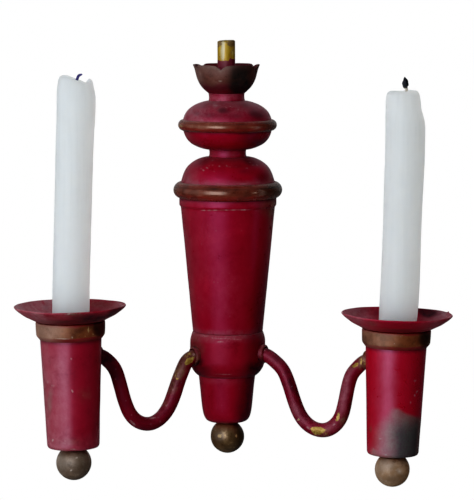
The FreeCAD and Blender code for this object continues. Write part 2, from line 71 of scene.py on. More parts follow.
def _hash(ix, iy, iz, seed):
    h = (ix * 374761393 + iy * 668265263 + iz * 1274126177 + seed * 974634777) & 0xFFFFFFFF
    h = ((h ^ (h >> 13)) * 1103515245) & 0xFFFFFFFF
    h = ((h ^ (h >> 15)) * 2246822519) & 0xFFFFFFFF
    return ((h ^ (h >> 16)) & 0xFFFF) / 65535.0


def vnoise(p, size, seed=0):
    """Smooth noise from -1 to 1, with features of about size millimetres."""
    q = np.asarray(p, float) / size + 1000.0
    i = np.floor(q).astype(np.int64)
    f = q - i
    u = f * f * f * (f * (f * 6 - 15) + 10)
    acc = np.zeros(len(q))
    for dx in (0, 1):
        for dy in (0, 1):
            for dz in (0, 1):
                w = (u[:, 0] if dx else 1 - u[:, 0]) * (u[:, 1] if dy else 1 - u[:, 1]) * (u[:, 2] if dz else 1 - u[:, 2])
                acc += w * _hash(i[:, 0] + dx, i[:, 1] + dy, i[:, 2] + dz, seed)
    return acc * 2 - 1


def fbm(p, size, seed=0, octaves=3):
    out, amp, tot = 0, 1.0, 0.0
    for k in range(octaves):
        out = out + amp * vnoise(p, size / 2 ** k, seed + 17 * k)
        tot += amp
        amp *= 0.5
    return out / tot


# ------------------------------------------------------------------- outlines
def run(pts, step=0.7):
    """A dense smooth line through the points; two points make a straight one."""
    p = np.array(pts, float)
    d = np.linalg.norm(np.diff(p, axis=0), axis=1)
    if len(p) == 2:
        n = max(1, int(math.ceil(d[0] / 0.8)))
        return p[0] + (p[1] - p[0]) * np.linspace(0, 1, n + 1)[:, None]
    m = np.zeros_like(p)
    s = np.diff(p, axis=0) / d[:, None]
    m[1:-1] = (s[1:] * d[:-1, None] + s[:-1] * d[1:, None]) / (d[:-1] + d[1:])[:, None]
    m[0], m[-1] = 2 * s[0] - m[1], 2 * s[-1] - m[-2]
    out = []
    for i in range(len(d)):
        n = max(1, int(math.ceil(d[i] / step)))
        t = np.linspace(0, 1, n, endpoint=False)[:, None]
        out.append((2 * t ** 3 - 3 * t ** 2 + 1) * p[i] + (t ** 3 - 2 * t ** 2 + t) * d[i] * m[i]
                   + (-2 * t ** 3 + 3 * t ** 2) * p[i + 1] + (t ** 3 - t ** 2) * d[i] * m[i + 1])
    out.append(p[-1:])
    return np.concatenate(out)


def arc(a, peak, b, n=18):
    """Round bead from a to b through the peak, which lies midway between them."""
    a, peak, b = (np.array(v, float) for v in (a, peak, b))
    mid = (a + b) / 2
    h, c = np.linalg.norm(peak - mid), np.linalg.norm(b - a) / 2
    rad = (c * c + h * h) / (2 * h)
    out = (peak - mid) / h
    cen = peak - out * rad
    along = (b - a) / (2 * c)
    lim = math.asin(min(1.0, c / rad)) if h <= rad else math.pi - math.asin(min(1.0, c / rad))
    t = np.linspace(-lim, lim, n)[:, None]
    return cen + rad * (np.cos(t) * out + np.sin(t) * along)


def trim(line, head, tail):
    seg = np.linalg.norm(np.diff(line, axis=0), axis=1)
    s = np.concatenate([[0], np.cumsum(seg)])
    head, tail = min(head, 0.42 * s[-1]), min(tail, 0.42 * s[-1])
    keep = (s > head + 1e-6) & (s < s[-1] - tail - 1e-6)

    def at(v):
        return np.array([np.interp(v, s, line[:, k]) for k in (0, 1)])
    return np.concatenate([[at(head)], line[keep], [at(s[-1] - tail)]])


def outline(parts, closed=True):
    """Joins runs end to end. Each part is (line, rounding of the corner at its end)."""
    lines = [run(p) if not isinstance(p, np.ndarray) else p for p, _ in parts]
    cuts = [c for _, c in parts]
    n = len(lines)
    out = []
    for i in range(n):
        head = cuts[i - 1] if (closed or i > 0) else 0
        tail = cuts[i] if (closed or i < n - 1) else 0
        piece = trim(lines[i], head, tail)
        out.append(piece)
        if closed or i < n - 1:
            corner = lines[i][-1]
            nxt = trim(lines[(i + 1) % n], tail, 0)[0]
            if tail > 0.02:
                t = np.array([0.25, 0.5, 0.75])[:, None]
                out.append((1 - t) ** 2 * piece[-1] + 2 * t * (1 - t) * corner + t ** 2 * nxt)
    line = np.concatenate(out)
    good = [0]
    for i in range(1, len(line)):
        if np.linalg.norm(line[i] - line[good[-1]]) > 0.03:
            good.append(i)
    line = line[good]
    if closed and np.linalg.norm(line[0] - line[-1]) < 0.03:
        line = line[:-1]
    return line


# -------------------------------------------------------------------- meshes
def axes_of(origin, axis, right):
    ez = np.array(axis, float) / np.linalg.norm(axis)
    ex = np.array(right, float)
    ex = ex - ez * (ex @ ez)
    ex /= np.linalg.norm(ex)
    return np.array(origin, float), ex, np.cross(ez, ex), ez


COLUMN = axes_of((0, -34, 0), (0, 0, 1), (1, 0, 0))


def stray(z):
    """How far the column leaves its axis sideways: hand-stacked, a little out of true."""
    return np.interp(z, [-130, -106, -99, -74, -66, -50, 0, 45, 62, 80, 88, 92, 121], [-0.25, -0.25, -0.5, -0.5, -0.3, 0.0, 0.08, 0.05, -0.1, -0.25, -0.6, -0.75, -0.85])


def lathe(prof, axes, segs=112, closed=True, warp=None):
    """Turns an outline (r, z). The angle is 0 at the front and grows to the right."""
    n = len(prof)
    ph = np.arange(segs) * TAU / segs - math.pi
    R = np.repeat(prof[:, :1], segs, 1)
    Z = np.repeat(prof[:, 1:], segs, 1)
    PH = np.repeat(ph[None, :], n, 0)
    dx = np.zeros_like(R)
    dy = np.zeros_like(R)
    if warp is not None:
        got = warp(R.copy(), Z.copy(), PH)
        R, Z = got[0], got[1]
        if len(got) == 4:
            dx, dy = got[2], got[3]
    o, ex, ey, ez = axes
    X, Y = R * np.sin(PH) + dx, -R * np.cos(PH) + dy
    V = (o + X[..., None] * ex + Y[..., None] * ey + Z[..., None] * ez).reshape(-1, 3)
    if axes is COLUMN:
        V[:, 0] += stray(V[:, 2])
    loc = np.stack([R.ravel(), PH.ravel(), Z.ravel()], 1)
    prof_i = np.repeat(np.arange(n)[:, None], segs, 1).ravel()
    F = []
    rows = n if closed else n - 1
    for i in range(rows):
        a, b = i * segs, ((i + 1) % n) * segs
        for j in range(segs):
            k = (j + 1) % segs
            F.append((a + j, a + k, b + k, b + j))
    if not closed:
        # ends that reach the axis become one point each
        remap = np.arange(len(V))
        for i in (0, n - 1):
            if prof[i, 0] < 1e-6:
                remap[i * segs:(i + 1) * segs] = i * segs
        used = np.unique(remap)
        new = -np.ones(len(V), int)
        new[used] = np.arange(len(used))
        G = []
        for f in F:
            g = []
            for v in f:
                w = new[remap[v]]
                if w not in g:
                    g.append(int(w))
            if len(g) > 2:
                G.append(tuple(g))
        F = G
        V, loc, prof_i = V[used], loc[used], prof_i[used]
    return V, F, loc


def sweep(path, radii, normal, segs=28, shape=None):
    """A capped rod along a path; normal is a direction the path never runs along."""
    path = np.asarray(path, float)
    n = len(path)
    T = np.gradient(path, axis=0)
    T /= np.linalg.norm(T, axis=1)[:, None]
    N = np.array(normal, float)[None, :] - (T @ np.array(normal, float))[:, None] * T
    N /= np.linalg.norm(N, axis=1)[:, None]
    B = np.cross(T, N)
    a = np.arange(segs) * TAU / segs
    s = np.concatenate([[0], np.cumsum(np.linalg.norm(np.diff(path, axis=0), axis=1))])
    rr = np.repeat(np.asarray(radii, float)[:, None] * np.ones((n, 1)), segs, 1)
    A = np.repeat(a[None, :], n, 0)
    S = np.repeat(s[:, None], segs, 1)
    flat = np.ones(2)
    if shape is not None:
        rr, flat = shape(rr, A, S)
    V = path[:, None, :] + rr[..., None] * (flat[0] * np.cos(A)[..., None] * N[:, None, :] + flat[1] * np.sin(A)[..., None] * B[:, None, :])
    V = V.reshape(-1, 3)
    F = []
    for i in range(n - 1):
        for j in range(segs):
            k = (j + 1) % segs
            F.append((i * segs + j, i * segs + k, (i + 1) * segs + k, (i + 1) * segs + j))
    c0, c1 = len(V), len(V) + 1
    V = np.concatenate([V, path[:1], path[-1:]])
    for j in range(segs):
        k = (j + 1) % segs
        F.append((c0, k, j))
        F.append((c1, (n - 1) * segs + j, (n - 1) * segs + k))
    loc = np.concatenate([np.stack([rr.ravel(), A.ravel(), S.ravel()], 1), [[0, 0, 0], [0, 0, s[-1]]]])
    return V, F, loc


def piece(name, geo, mat, body, nodes, slot, attrs=None, angle=38):
    V, F, loc = geo
    me = bpy.data.meshes.new(name)
    me.from_pydata((np.asarray(V) * MM).tolist(), [], F)
    bm = bmesh.new()
    bm.from_mesh(me)
    bmesh.ops.recalc_face_normals(bm, faces=bm.faces)
    bm.to_mesh(me)
    bm.free()
    me.polygons.foreach_set("use_smooth", [True] * len(me.polygons))
    me.set_sharp_from_angle(angle=math.radians(angle))
    ob = bpy.data.objects.new(name, me)
    bpy.context.scene.collection.objects.link(ob)
    me.materials.append(mat)
    N = np.zeros(len(me.vertices) * 3)
    me.vertices.foreach_get("normal", N)
    N = N.reshape(-1, 3)
    for key, fn in (attrs or {}).items():
        a = me.attributes.new(key, "FLOAT", "POINT")
        val = np.clip(np.broadcast_to(np.asarray(fn(V, N, loc), float), (len(V),)), 0, 1)
        a.data.foreach_set("value", val.astype(np.float32))
    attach(ob, body)
    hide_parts(*nodes)
    return ob


# ----------------------------------------------------------- painted-on marks
def facing(V, N):
    d = V - EYE
    d = d / np.linalg.norm(d, axis=1)[:, None]
    return sstep(-0.02, 0.12, -(N * d).sum(1))


def spot(V, N, cx, cy, rx, ry, turn=0.0, soft=0.5, rough=0.35, seed=1, grain=3.0):
    """A ragged patch on the side that faces the front, centred on an image point."""
    x, y = pix(V)
    c, s = math.cos(math.radians(turn)), math.sin(math.radians(turn))
    u = ((x - cx) * c + (y - cy) * s) / rx
    v = (-(x - cx) * s + (y - cy) * c) / ry
    d = np.sqrt(u * u + v * v) + rough * fbm(V, grain, seed, 3)
    return (1 - sstep(1 - soft, 1 + soft, d)) * facing(V, N)


def marks_at(V, N, table, seed=1, rough=0.35, grain=2.2):
    """The strongest of several patches; each is (x, y, rx, ry, turn, soft, amount)."""
    out = np.zeros(len(V))
    for i, (cx, cy, rx, ry, turn, soft, amount) in enumerate(table):
        out = np.maximum(out, amount * spot(V, N, cx, cy, rx, ry, turn, soft, rough, seed + i, grain))
    return out


def flank(L, a, b, c, d, wob=0.0):
    """1 on the stretch of a turned piece from b to c degrees round from the front; a and d are where it has faded."""
    p = np.degrees(L[:, 1]) + wob
    return sstep(a, b, p) * (1 - sstep(c, d, p))


# ----------------------------------------------------------------- materials
class Mat:
    def __init__(self, name):
        self.m = bpy.data.materials.new(name)
        self.m.use_nodes = True
        self.t = self.m.node_tree
        self.t.nodes.clear()
        out = self.t.nodes.new("ShaderNodeOutputMaterial")
        self.b = self.t.nodes.new("ShaderNodeBsdfPrincipled")
        self.t.links.new(self.b.outputs[0], out.inputs[0])
        self.tc = self.t.nodes.new("ShaderNodeTexCoord")

    def put(self, sock, v):
        if isinstance(v, bpy.types.NodeSocket):
            self.t.links.new(v, sock)
        else:
            sock.default_value = v

    def obj(self, sx=1.0, sy=1.0, sz=1.0):
        n = self.t.nodes.new("ShaderNodeMapping")
        n.inputs["Scale"].default_value = (sx, sy, sz)
        self.t.links.new(self.tc.outputs["Object"], n.inputs["Vector"])
        return n.outputs[0]

    def noise(self, size_mm, detail=4.0, rough=0.55, warp=0.0, seed=0.0, vec=None):
        n = self.t.nodes.new("ShaderNodeTexNoise")
        n.noise_dimensions = "4D"
        self.t.links.new(vec or self.tc.outputs["Object"], n.inputs["Vector"])
        n.inputs["Scale"].default_value = 1000.0 / size_mm
        n.inputs["Detail"].default_value = detail
        n.inputs["Roughness"].default_value = rough
        n.inputs["Distortion"].default_value = warp
        n.inputs["W"].default_value = seed
        return n.outputs["Fac"]

    def cells(self, size_mm, seed=0.0, vec=None):
        n = self.t.nodes.new("ShaderNodeTexVoronoi")
        n.voronoi_dimensions = "4D"
        self.t.links.new(vec or self.tc.outputs["Object"], n.inputs["Vector"])
        n.inputs["Scale"].default_value = 1000.0 / size_mm
        n.inputs["W"].default_value = seed
        return n.outputs["Distance"], n.outputs["Color"]

    def math(self, op, a, b=0.0, clamp=False):
        n = self.t.nodes.new("ShaderNodeMath")
        n.operation = op
        n.use_clamp = clamp
        self.put(n.inputs[0], a)
        self.put(n.inputs[1], b)
        return n.outputs[0]

    def add(self, *terms):
        out = terms[0]
        for t in terms[1:]:
            out = self.math("ADD", out, t)
        return out

    def mul(self, a, b, clamp=False):
        return self.math("MULTIPLY", a, b, clamp)

    def about(self, x, gain):
        """A noise value moved to be centred on zero, times gain."""
        return self.math("MULTIPLY", self.math("SUBTRACT", x, 0.5), gain)

    def step(self, x, lo, hi, a=0.0, b=1.0):
        n = self.t.nodes.new("ShaderNodeMapRange")
        n.interpolation_type = "SMOOTHSTEP"
        self.put(n.inputs[0], x)
        n.inputs[1].default_value = lo
        n.inputs[2].default_value = hi
        n.inputs[3].default_value = a
        n.inputs[4].default_value = b
        return n.outputs[0]

    def mix(self, f, a, b, blend="MIX"):
        n = self.t.nodes.new("ShaderNodeMix")
        n.data_type = "RGBA"
        n.blend_type = blend
        n.clamp_factor = True
        for sock, v in ((n.inputs[0], f), (n.inputs[6], a), (n.inputs[7], b)):
            if isinstance(v, tuple) and len(v) == 3:
                v = (*v, 1.0)
            self.put(sock, v)
        return n.outputs[2]

    def ramp(self, f, *stops):
        n = self.t.nodes.new("ShaderNodeValToRGB")
        n.color_ramp.interpolation = "EASE"
        self.put(n.inputs[0], f)
        el = n.color_ramp.elements
        while len(el) < len(stops):
            el.new(0.5)
        for e, (at, c) in zip(el, stops):
            e.position = at
            e.color = (*c, 1.0)
        return n.outputs[0]

    def attr(self, name):
        n = self.t.nodes.new("ShaderNodeAttribute")
        n.attribute_name = name
        return n.outputs["Fac"]

    def bump(self, height, strength, depth_mm):
        n = self.t.nodes.new("ShaderNodeBump")
        n.inputs["Strength"].default_value = strength
        n.inputs["Distance"].default_value = depth_mm * MM
        self.put(n.inputs["Height"], height)
        self.t.links.new(n.outputs[0], self.b.inputs["Normal"])

    def done(self, color, rough, metal=None, spec=None):
        self.put(self.b.inputs["Base Color"], color)
        self.put(self.b.inputs["Roughness"], rough)
        if metal is not None:
            self.put(self.b.inputs["Metallic"], metal)
        if spec is not None:
            self.b.inputs["Specular IOR Level"].default_value = spec
        return self.m


def red_paint(name, deep, mid, bright, rough=0.36, seed=0.0, dust_and_sheen_color=(0.17, 0.085, 0.10), chip=(0.36, 0.24, 0.20), dust_and_sheen_gain=0.8, spec=0.5, sheen=(1.0, 0.38, 0.60), fuzz=0.0, grain=1.0, dull=0.14):
    """Old red enamel: uneven film, brown rubs, dust on top, chips to primer, rubbed to brass, scorched; its masks also
    carry painted shade, painted sheen and painted highlights.
    """
    k = Mat(name)
    big = k.noise(30, 4, 0.55, 0.4, seed)
    med = k.noise(5.0, 5, 0.62, 0.25, seed + 3)
    fine = k.noise(1.1, 3, 0.6, 0.0, seed + 7)
    film = k.add(k.mul(big, 0.46), k.mul(med, 0.34), k.mul(fine, 0.20))
    col = k.ramp(film, (0.36, deep), (0.5, mid), (0.64, bright))
    # film rubbed thin, brown
    t = k.mul(k.attr("tint"), k.add(0.9, k.about(med, 1.6), k.about(fine, 0.9)), True)
    col = k.mix(t, col, k.mix(k.step(med, 0.35, 0.65), (0.085, 0.036, 0.022), (0.170, 0.088, 0.050)))
    # settled dust, blotchy, with pale specks in it; on lit flanks the same mask is painted sheen
    d = k.mul(k.attr("dust_and_sheen"), k.add(0.72, k.about(med, 1.2 + grain), k.about(fine, 1.1 * grain)), True)
    col = k.mix(k.mul(d, dust_and_sheen_gain), col, dust_and_sheen_color)
    # darker grime in blotches, and painted shade in corners, creases, undersides and shaded sides
    g = k.mul(k.attr("grime_and_shade"), k.add(0.9, k.about(med, 1.4), k.about(fine, 0.6)), True)
    col = k.mix(g, col, (0.030, 0.008, 0.011))
    dist, rnd = k.cells(2.6, seed + 1)
    speck = k.mul(k.mul(k.step(k.add(dist, k.about(fine, 0.3)), 0.10, 0.30, 1.0, 0.0), k.step(rnd, 0.58, 0.64)), k.attr("speck"))
    col = k.mix(k.mul(speck, 0.75), col, (0.40, 0.24, 0.25))
    # pale scuffs, and painted highlights where the marks sit on highlight lines
    sc = k.step(k.mul(k.attr("scuff_and_highlight"), k.add(1.0, k.about(fine, 1.6), k.about(med, 0.8))), 0.16, 0.80)
    col = k.mix(k.mul(sc, 0.85), col, (0.47, 0.31, 0.30))
    # chipped edges
    w = k.step(k.mul(k.attr("edge"), k.add(1.0, k.about(med, 2.4), k.about(fine, 2.2))), 0.38, 0.62)
    col = k.mix(k.mul(w, 0.8), col, chip)
    # rubbed through to brass
    bare = k.mul(k.step(k.add(k.attr("bare"), k.about(fine, 0.6), k.about(med, 0.45)), 0.40, 0.68), k.step(k.attr("bare"), 0.06, 0.28))
    brass = k.mix(k.step(k.add(k.mul(med, 0.6), k.mul(fine, 0.4)), 0.40, 0.62), (0.26, 0.160, 0.032), (0.54, 0.385, 0.108))
    col = k.mix(k.mul(bare, 0.9), col, brass)
    # scorch, with a smoky fringe
    smoke = k.mul(k.attr("smoke"), k.add(0.97, k.about(med, 0.5), k.about(fine, 0.35)), True)
    col = k.mix(smoke, col, k.mix(k.step(k.add(k.mul(med, 0.5), k.mul(fine, 0.5)), 0.36, 0.66), (0.150, 0.130, 0.100), (0.220, 0.192, 0.152)))
    soot = k.mul(k.attr("soot"), k.add(0.97, k.about(med, 0.35), k.about(fine, 0.35)), True)
    col = k.mix(soot, col, k.mix(k.step(k.add(k.mul(med, 0.5), k.mul(fine, 0.5)), 0.36, 0.66), (0.026, 0.032, 0.022), (0.060, 0.070, 0.050)))
    r = k.add(rough, k.about(big, 0.10), k.about(med, 0.12), k.mul(d, dull), k.mul(smoke, 0.36), k.mul(soot, 0.25), k.mul(bare, 0.06))
    k.bump(k.add(k.mul(fine, 0.12), k.mul(med, 0.4), k.mul(w, -0.5), k.mul(bare, -0.7), k.mul(speck, 0.2)), 0.30, 0.2)
    k.b.inputs["Specular Tint"].default_value = (*sheen, 1.0)
    if fuzz:
        k.b.inputs["Sheen Weight"].default_value = fuzz
        k.b.inputs["Sheen Roughness"].default_value = 0.45
        k.b.inputs["Sheen Tint"].default_value = (1.0, 0.72, 0.70, 1.0)
    return k.done(col, r, k.mul(bare, 0.35), spec)


def bronze(name, seed=0.0, dark=(0.030, 0.017, 0.011), mid=(0.125, 0.072, 0.042), light=(0.33, 0.215, 0.115), rough=0.40, red=(0.16, 0.022, 0.02), metal=0.8, spec=0.5, dust_and_sheen_color=(0.22, 0.15, 0.13), dust_and_sheen_gain=0.55, fuzz=0.0, sheen=(1.0, 1.0, 1.0)):
    """Bronze powder paint over brass: brown, uneven, red rubbed on in places; its masks also carry painted shade,
    painted highlights and a painted red reflection.
    """
    k = Mat(name)
    big = k.noise(11, 4, 0.6, 0.5, seed)
    med = k.noise(3.2, 5, 0.62, 0.3, seed + 2)
    fine = k.noise(0.8, 3, 0.6, 0.0, seed + 5)
    tone = k.add(k.mul(big, 0.5), k.mul(med, 0.32), k.mul(fine, 0.18))
    col = k.ramp(tone, (0.36, dark), (0.50, mid), (0.66, light))
    # red rub, and on the bottom ball's top and the bead undersides a painted reflection of the red paint next to them
    t = k.mul(k.attr("tint"), k.add(0.90, k.about(med, 1.6), k.about(fine, 0.6)), True)
    col = k.mix(t, col, red)
    # dust, and painted light on the lit side of the balls
    d = k.mul(k.attr("dust_and_sheen"), k.add(0.8, k.about(med, 1.4), k.about(fine, 0.6)), True)
    col = k.mix(k.mul(d, dust_and_sheen_gain), col, dust_and_sheen_color)
    # grime, and painted shade on shaded sides, undersides and creases
    g = k.mul(k.attr("grime_and_shade"), k.add(0.9, k.about(med, 1.0)), True)
    col = k.mix(g, col, (0.014, 0.010, 0.008))
    # rubbed gold edges, and painted glints on the bottom ball
    w = k.step(k.mul(k.attr("edge"), k.add(1.0, k.about(med, 2.2), k.about(fine, 2.0))), 0.40, 0.68)
    col = k.mix(k.mul(w, 0.75), col, (0.50, 0.33, 0.15))
    # pale scuffs, and painted highlights on the beads and balls
    sc = k.step(k.mul(k.attr("scuff_and_highlight"), k.add(1.0, k.about(fine, 1.4))), 0.18, 0.80)
    col = k.mix(k.mul(sc, 0.85), col, (0.55, 0.46, 0.39))
    dist, rnd = k.cells(2.2, seed + 4)
    speck = k.mul(k.step(k.add(dist, k.about(fine, 0.25)), 0.06, 0.22, 1.0, 0.0), k.step(rnd, 0.70, 0.74))
    col = k.mix(k.mul(k.mul(speck, k.attr("speck")), 0.6), col, (0.50, 0.40, 0.31))
    r = k.add(rough, k.about(med, 0.20), k.about(fine, 0.10), k.mul(t, 0.06), k.mul(d, 0.2))
    m = k.math("SUBTRACT", metal, k.add(k.mul(t, 0.6), k.mul(d, 0.4)), True)
    k.bump(k.add(k.mul(fine, 0.3), k.mul(med, 0.6), k.mul(speck, 0.4)), 0.32, 0.25)
    k.b.inputs["Specular Tint"].default_value = (*sheen, 1.0)
    if fuzz:
        k.b.inputs["Sheen Weight"].default_value = fuzz
        k.b.inputs["Sheen Roughness"].default_value = 0.45
        k.b.inputs["Sheen Tint"].default_value = (1.0, 0.90, 0.74, 1.0)
    return k.done(col, r, m, spec)


def stud_brass(name):
    """Lamp rod: gold with a painted pale highlight streak, brown tarnish, paint run at the foot."""
    k = Mat(name)
    streak = k.noise(1.5, 4, 0.6, 0.1, 1.0, k.obj(1, 1, 0.10))
    med = k.noise(2.2, 5, 0.65, 0.3, 4.0)
    fine = k.noise(0.7, 3, 0.6, 0.0, 6.0)
    col = k.ramp(k.add(k.mul(streak, 0.7), k.mul(med, 0.3)), (0.36, (0.26, 0.140, 0.012)), (0.5, (0.41, 0.248, 0.020)), (0.66, (0.52, 0.360, 0.050)))
    # painted highlight: the pale streak down the lit side of the rod
    pale = k.step(k.mul(k.attr("dust_and_sheen"), k.add(1.0, k.about(streak, 1.4), k.about(fine, 0.9))), 0.20, 0.85)
    col = k.mix(k.mul(pale, 0.9), col, (0.50, 0.44, 0.28))
    t = k.step(k.mul(k.attr("grime_and_shade"), k.add(1.0, k.about(med, 2.6), k.about(fine, 1.2))), 0.20, 0.75)
    col = k.mix(k.mul(t, 0.9), col, k.mix(med, (0.060, 0.034, 0.020), (0.22, 0.130, 0.060)))
    p = k.step(k.add(k.attr("tint"), k.about(med, 0.5), k.about(fine, 0.4)), 0.40, 0.60)
    col = k.mix(p, col, k.mix(med, (0.100, 0.010, 0.022), (0.240, 0.032, 0.052)))
    r = k.add(0.42, k.about(streak, 0.25), k.about(med, 0.2), k.mul(t, 0.2), k.mul(p, 0.1))
    m = k.math("SUBTRACT", 0.22, k.add(k.mul(t, 0.2), k.mul(p, 0.22)), True)
    k.bump(k.add(k.mul(streak, 0.5), k.mul(med, 0.4), k.mul(p, 0.9)), 0.35, 0.2)
    return k.done(col, r, m, 0.4)


def wax(name, seed=0.0):
    """Paraffin candle: cloudy, slightly blue-white, faint drawn streaks and finger marks."""
    k = Mat(name)
    streak = k.noise(2.2, 4, 0.55, 0.1, seed, k.obj(1, 1, 0.035))
    cloud = k.noise(22, 4, 0.6, 0.4, seed + 2)
    fine = k.noise(1.4, 4, 0.6, 0.0, seed + 5)
    col = k.ramp(k.add(k.mul(streak, 0.55), k.mul(cloud, 0.45)), (0.32, (0.462, 0.500, 0.515)), (0.5, (0.500, 0.538, 0.554)), (0.7, (0.532, 0.566, 0.582)))
    dist, rnd = k.cells(7.5, seed + 1)
    mark = k.mul(k.step(dist, 0.10, 0.22, 1.0, 0.0), k.step(rnd, 0.90, 0.92))
    col = k.mix(k.mul(mark, 0.16), col, (0.40, 0.36, 0.33))
    # bluer towards the foot: a painted offset for the red light bounced up from the pan
    col = k.mix(k.mul(k.attr("cool"), 0.7), col, (0.470, 0.560, 0.570))
    col = k.mix(k.mul(k.attr("warm"), 0.55), col, (0.70, 0.64, 0.50))
    col = k.mix(k.mul(k.attr("soot"), 0.5), col, (0.20, 0.19, 0.20))
    r = k.add(0.44, k.about(streak, 0.15), k.about(fine, 0.14))
    k.b.inputs["Subsurface Weight"].default_value = 1.0
    k.b.inputs["Subsurface Radius"].default_value = (1.0, 0.92, 0.82)
    k.b.inputs["Subsurface Scale"].default_value = 0.12
    k.bump(k.add(k.mul(streak, 0.55), k.mul(fine, 0.22), k.mul(cloud, 0.4)), 0.25, 0.25)
    return k.done(col, r, None, 0.2)


def wick_cord(name, tone, seed=0.0):
    """Braided cotton, charred black above, waxed and pale at the foot."""
    k = Mat(name)
    braid = k.noise(0.45, 3, 0.6, 0.4, seed)
    med = k.noise(1.6, 4, 0.6, 0.0, seed + 2)
    col = k.mix(k.step(med, 0.35, 0.7), tone, tuple(min(1.0, c * 2.6 + 0.004) for c in tone))
    pale = k.mix(braid, (0.50, 0.42, 0.33), (0.74, 0.66, 0.54))
    col = k.mix(k.attr("warm"), col, pale)
    k.bump(k.add(braid, k.mul(med, 0.6)), 0.6, 0.2)
    return k.done(col, k.add(0.62, k.about(med, 0.3)))


def steel(name, light, dark, rough=0.38, seed=0.0, rust=0.25):
    """Plated hardware: brushed, dulled, a little rust in the grain."""
    k = Mat(name)
    brush = k.noise(1.2, 4, 0.6, 0.1, seed, k.obj(1, 0.15, 1))
    med = k.noise(4.0, 5, 0.6, 0.3, seed + 2)
    fine = k.noise(0.8, 3, 0.6, 0.0, seed + 5)
    col = k.mix(k.step(k.add(k.mul(brush, 0.5), k.mul(med, 0.5)), 0.36, 0.64), dark, light)
    ru = k.mul(k.step(k.add(k.mul(med, 0.7), k.mul(fine, 0.3)), 0.55, 0.72), rust)
    col = k.mix(ru, col, (0.16, 0.06, 0.025))
    r = k.add(rough, k.about(brush, 0.2), k.about(med, 0.18), k.mul(ru, 0.4))
    m = k.math("SUBTRACT", 0.95, k.mul(ru, 0.9), True)
    k.bump(k.add(k.mul(brush, 0.5), k.mul(fine, 0.3), k.mul(ru, 0.7)), 0.3, 0.15)
    return k.done(col, r, m)


RED_COLUMN = red_paint("red_paint_column", (0.208, 0.0043, 0.0150), (0.273, 0.0055, 0.0195), (0.328, 0.0070, 0.0230), 0.29, 0.0, dust_and_sheen_color=(0.23, 0.088, 0.092), sheen=(1.0, 0.34, 0.74), fuzz=0.03, grain=1.5, dull=0.55)
RED_HUB = red_paint("red_paint_hub", (0.180, 0.0045, 0.0150), (0.265, 0.0062, 0.0205), (0.318, 0.0080, 0.0240), 0.38, 5.0, dust_and_sheen_color=(0.25, 0.095, 0.105), spec=0.24, sheen=(1.0, 0.40, 0.72), fuzz=0.03, grain=1.5)
RED_DUSTY = red_paint("red_paint_dusty", (0.155, 0.0050, 0.0170), (0.230, 0.0075, 0.0240), (0.285, 0.0100, 0.0290), 0.38, 11.0, dust_and_sheen_color=(0.285, 0.112, 0.128), dust_and_sheen_gain=0.95, fuzz=0.10, grain=1.7)
RED_CUP_L = red_paint("red_paint_left_cup", (0.200, 0.0060, 0.0170), (0.280, 0.0085, 0.0240), (0.330, 0.0110, 0.0280), 0.30, 23.0, dust_and_sheen_color=(0.39, 0.160, 0.185), spec=0.85, sheen=(1.0, 0.58, 0.86), fuzz=0.06, grain=0.45)
RED_CUP_R = red_paint("red_paint_right_cup", (0.350, 0.0042, 0.0170), (0.375, 0.0045, 0.0185), (0.425, 0.0060, 0.0220), 0.29, 27.0, dust_and_sheen_color=(0.42, 0.125, 0.170), spec=0.95, sheen=(1.0, 0.56, 0.97), grain=0.5)
RED_ARM = red_paint("red_paint_arm", (0.105, 0.0050, 0.0140), (0.165, 0.0075, 0.0210), (0.225, 0.0100, 0.0260), 0.41, 37.0, dust_and_sheen_color=(0.26, 0.095, 0.110), chip=(0.34, 0.17, 0.15), spec=0.38, sheen=(1.0, 0.54, 0.70))
RED_PAN_L = red_paint("red_paint_left_pan", (0.205, 0.0075, 0.0180), (0.285, 0.0105, 0.0240), (0.335, 0.0130, 0.0280), 0.46, 51.0, dust_and_sheen_color=(0.375, 0.200, 0.215), spec=0.30, fuzz=0.06)
RED_PAN_R = red_paint("red_paint_right_pan", (0.225, 0.0045, 0.0165), (0.320, 0.0065, 0.0235), (0.375, 0.0090, 0.0280), 0.46, 57.0, dust_and_sheen_color=(0.340, 0.175, 0.200), spec=0.30, fuzz=0.06)
BRONZE_RING = bronze("bronze_rings", 3.0, dark=(0.085, 0.021, 0.013), mid=(0.165, 0.042, 0.026), light=(0.24, 0.088, 0.052), rough=0.19, red=(0.198, 0.012, 0.009), metal=0.10, spec=0.78, dust_and_sheen_color=(0.30, 0.110, 0.100), dust_and_sheen_gain=0.85, fuzz=0.08, sheen=(1.0, 0.90, 0.76))
BRONZE_BAND = bronze("bronze_bands", 19.0, dark=(0.100, 0.030, 0.011), mid=(0.205, 0.066, 0.027), light=(0.32, 0.145, 0.072), rough=0.40, red=(0.22, 0.016, 0.020), metal=0.16, spec=0.62, dust_and_sheen_color=(0.335, 0.208, 0.160), dust_and_sheen_gain=0.75, sheen=(1.0, 0.82, 0.68))
BRONZE_BALL_L = bronze("bronze_ball_left", 31.0, dark=(0.086, 0.051, 0.032), mid=(0.205, 0.137, 0.093), light=(0.345, 0.260, 0.190), rough=0.42, metal=0.2, spec=0.5, dust_and_sheen_color=(0.32, 0.280, 0.240))
BRONZE_BALL_R = bronze("bronze_ball_right", 36.0, dark=(0.180, 0.094, 0.048), mid=(0.365, 0.218, 0.126), light=(0.50, 0.350, 0.238), rough=0.48, metal=0.0, spec=0.14, dust_and_sheen_color=(0.43, 0.370, 0.325), dust_and_sheen_gain=0.8)
BRONZE_DARK = bronze("bronze_ball_dark", 31.0, dark=(0.075, 0.038, 0.018), mid=(0.175, 0.103, 0.050), light=(0.40, 0.275, 0.145), rough=0.31, metal=0.45, spec=0.55)
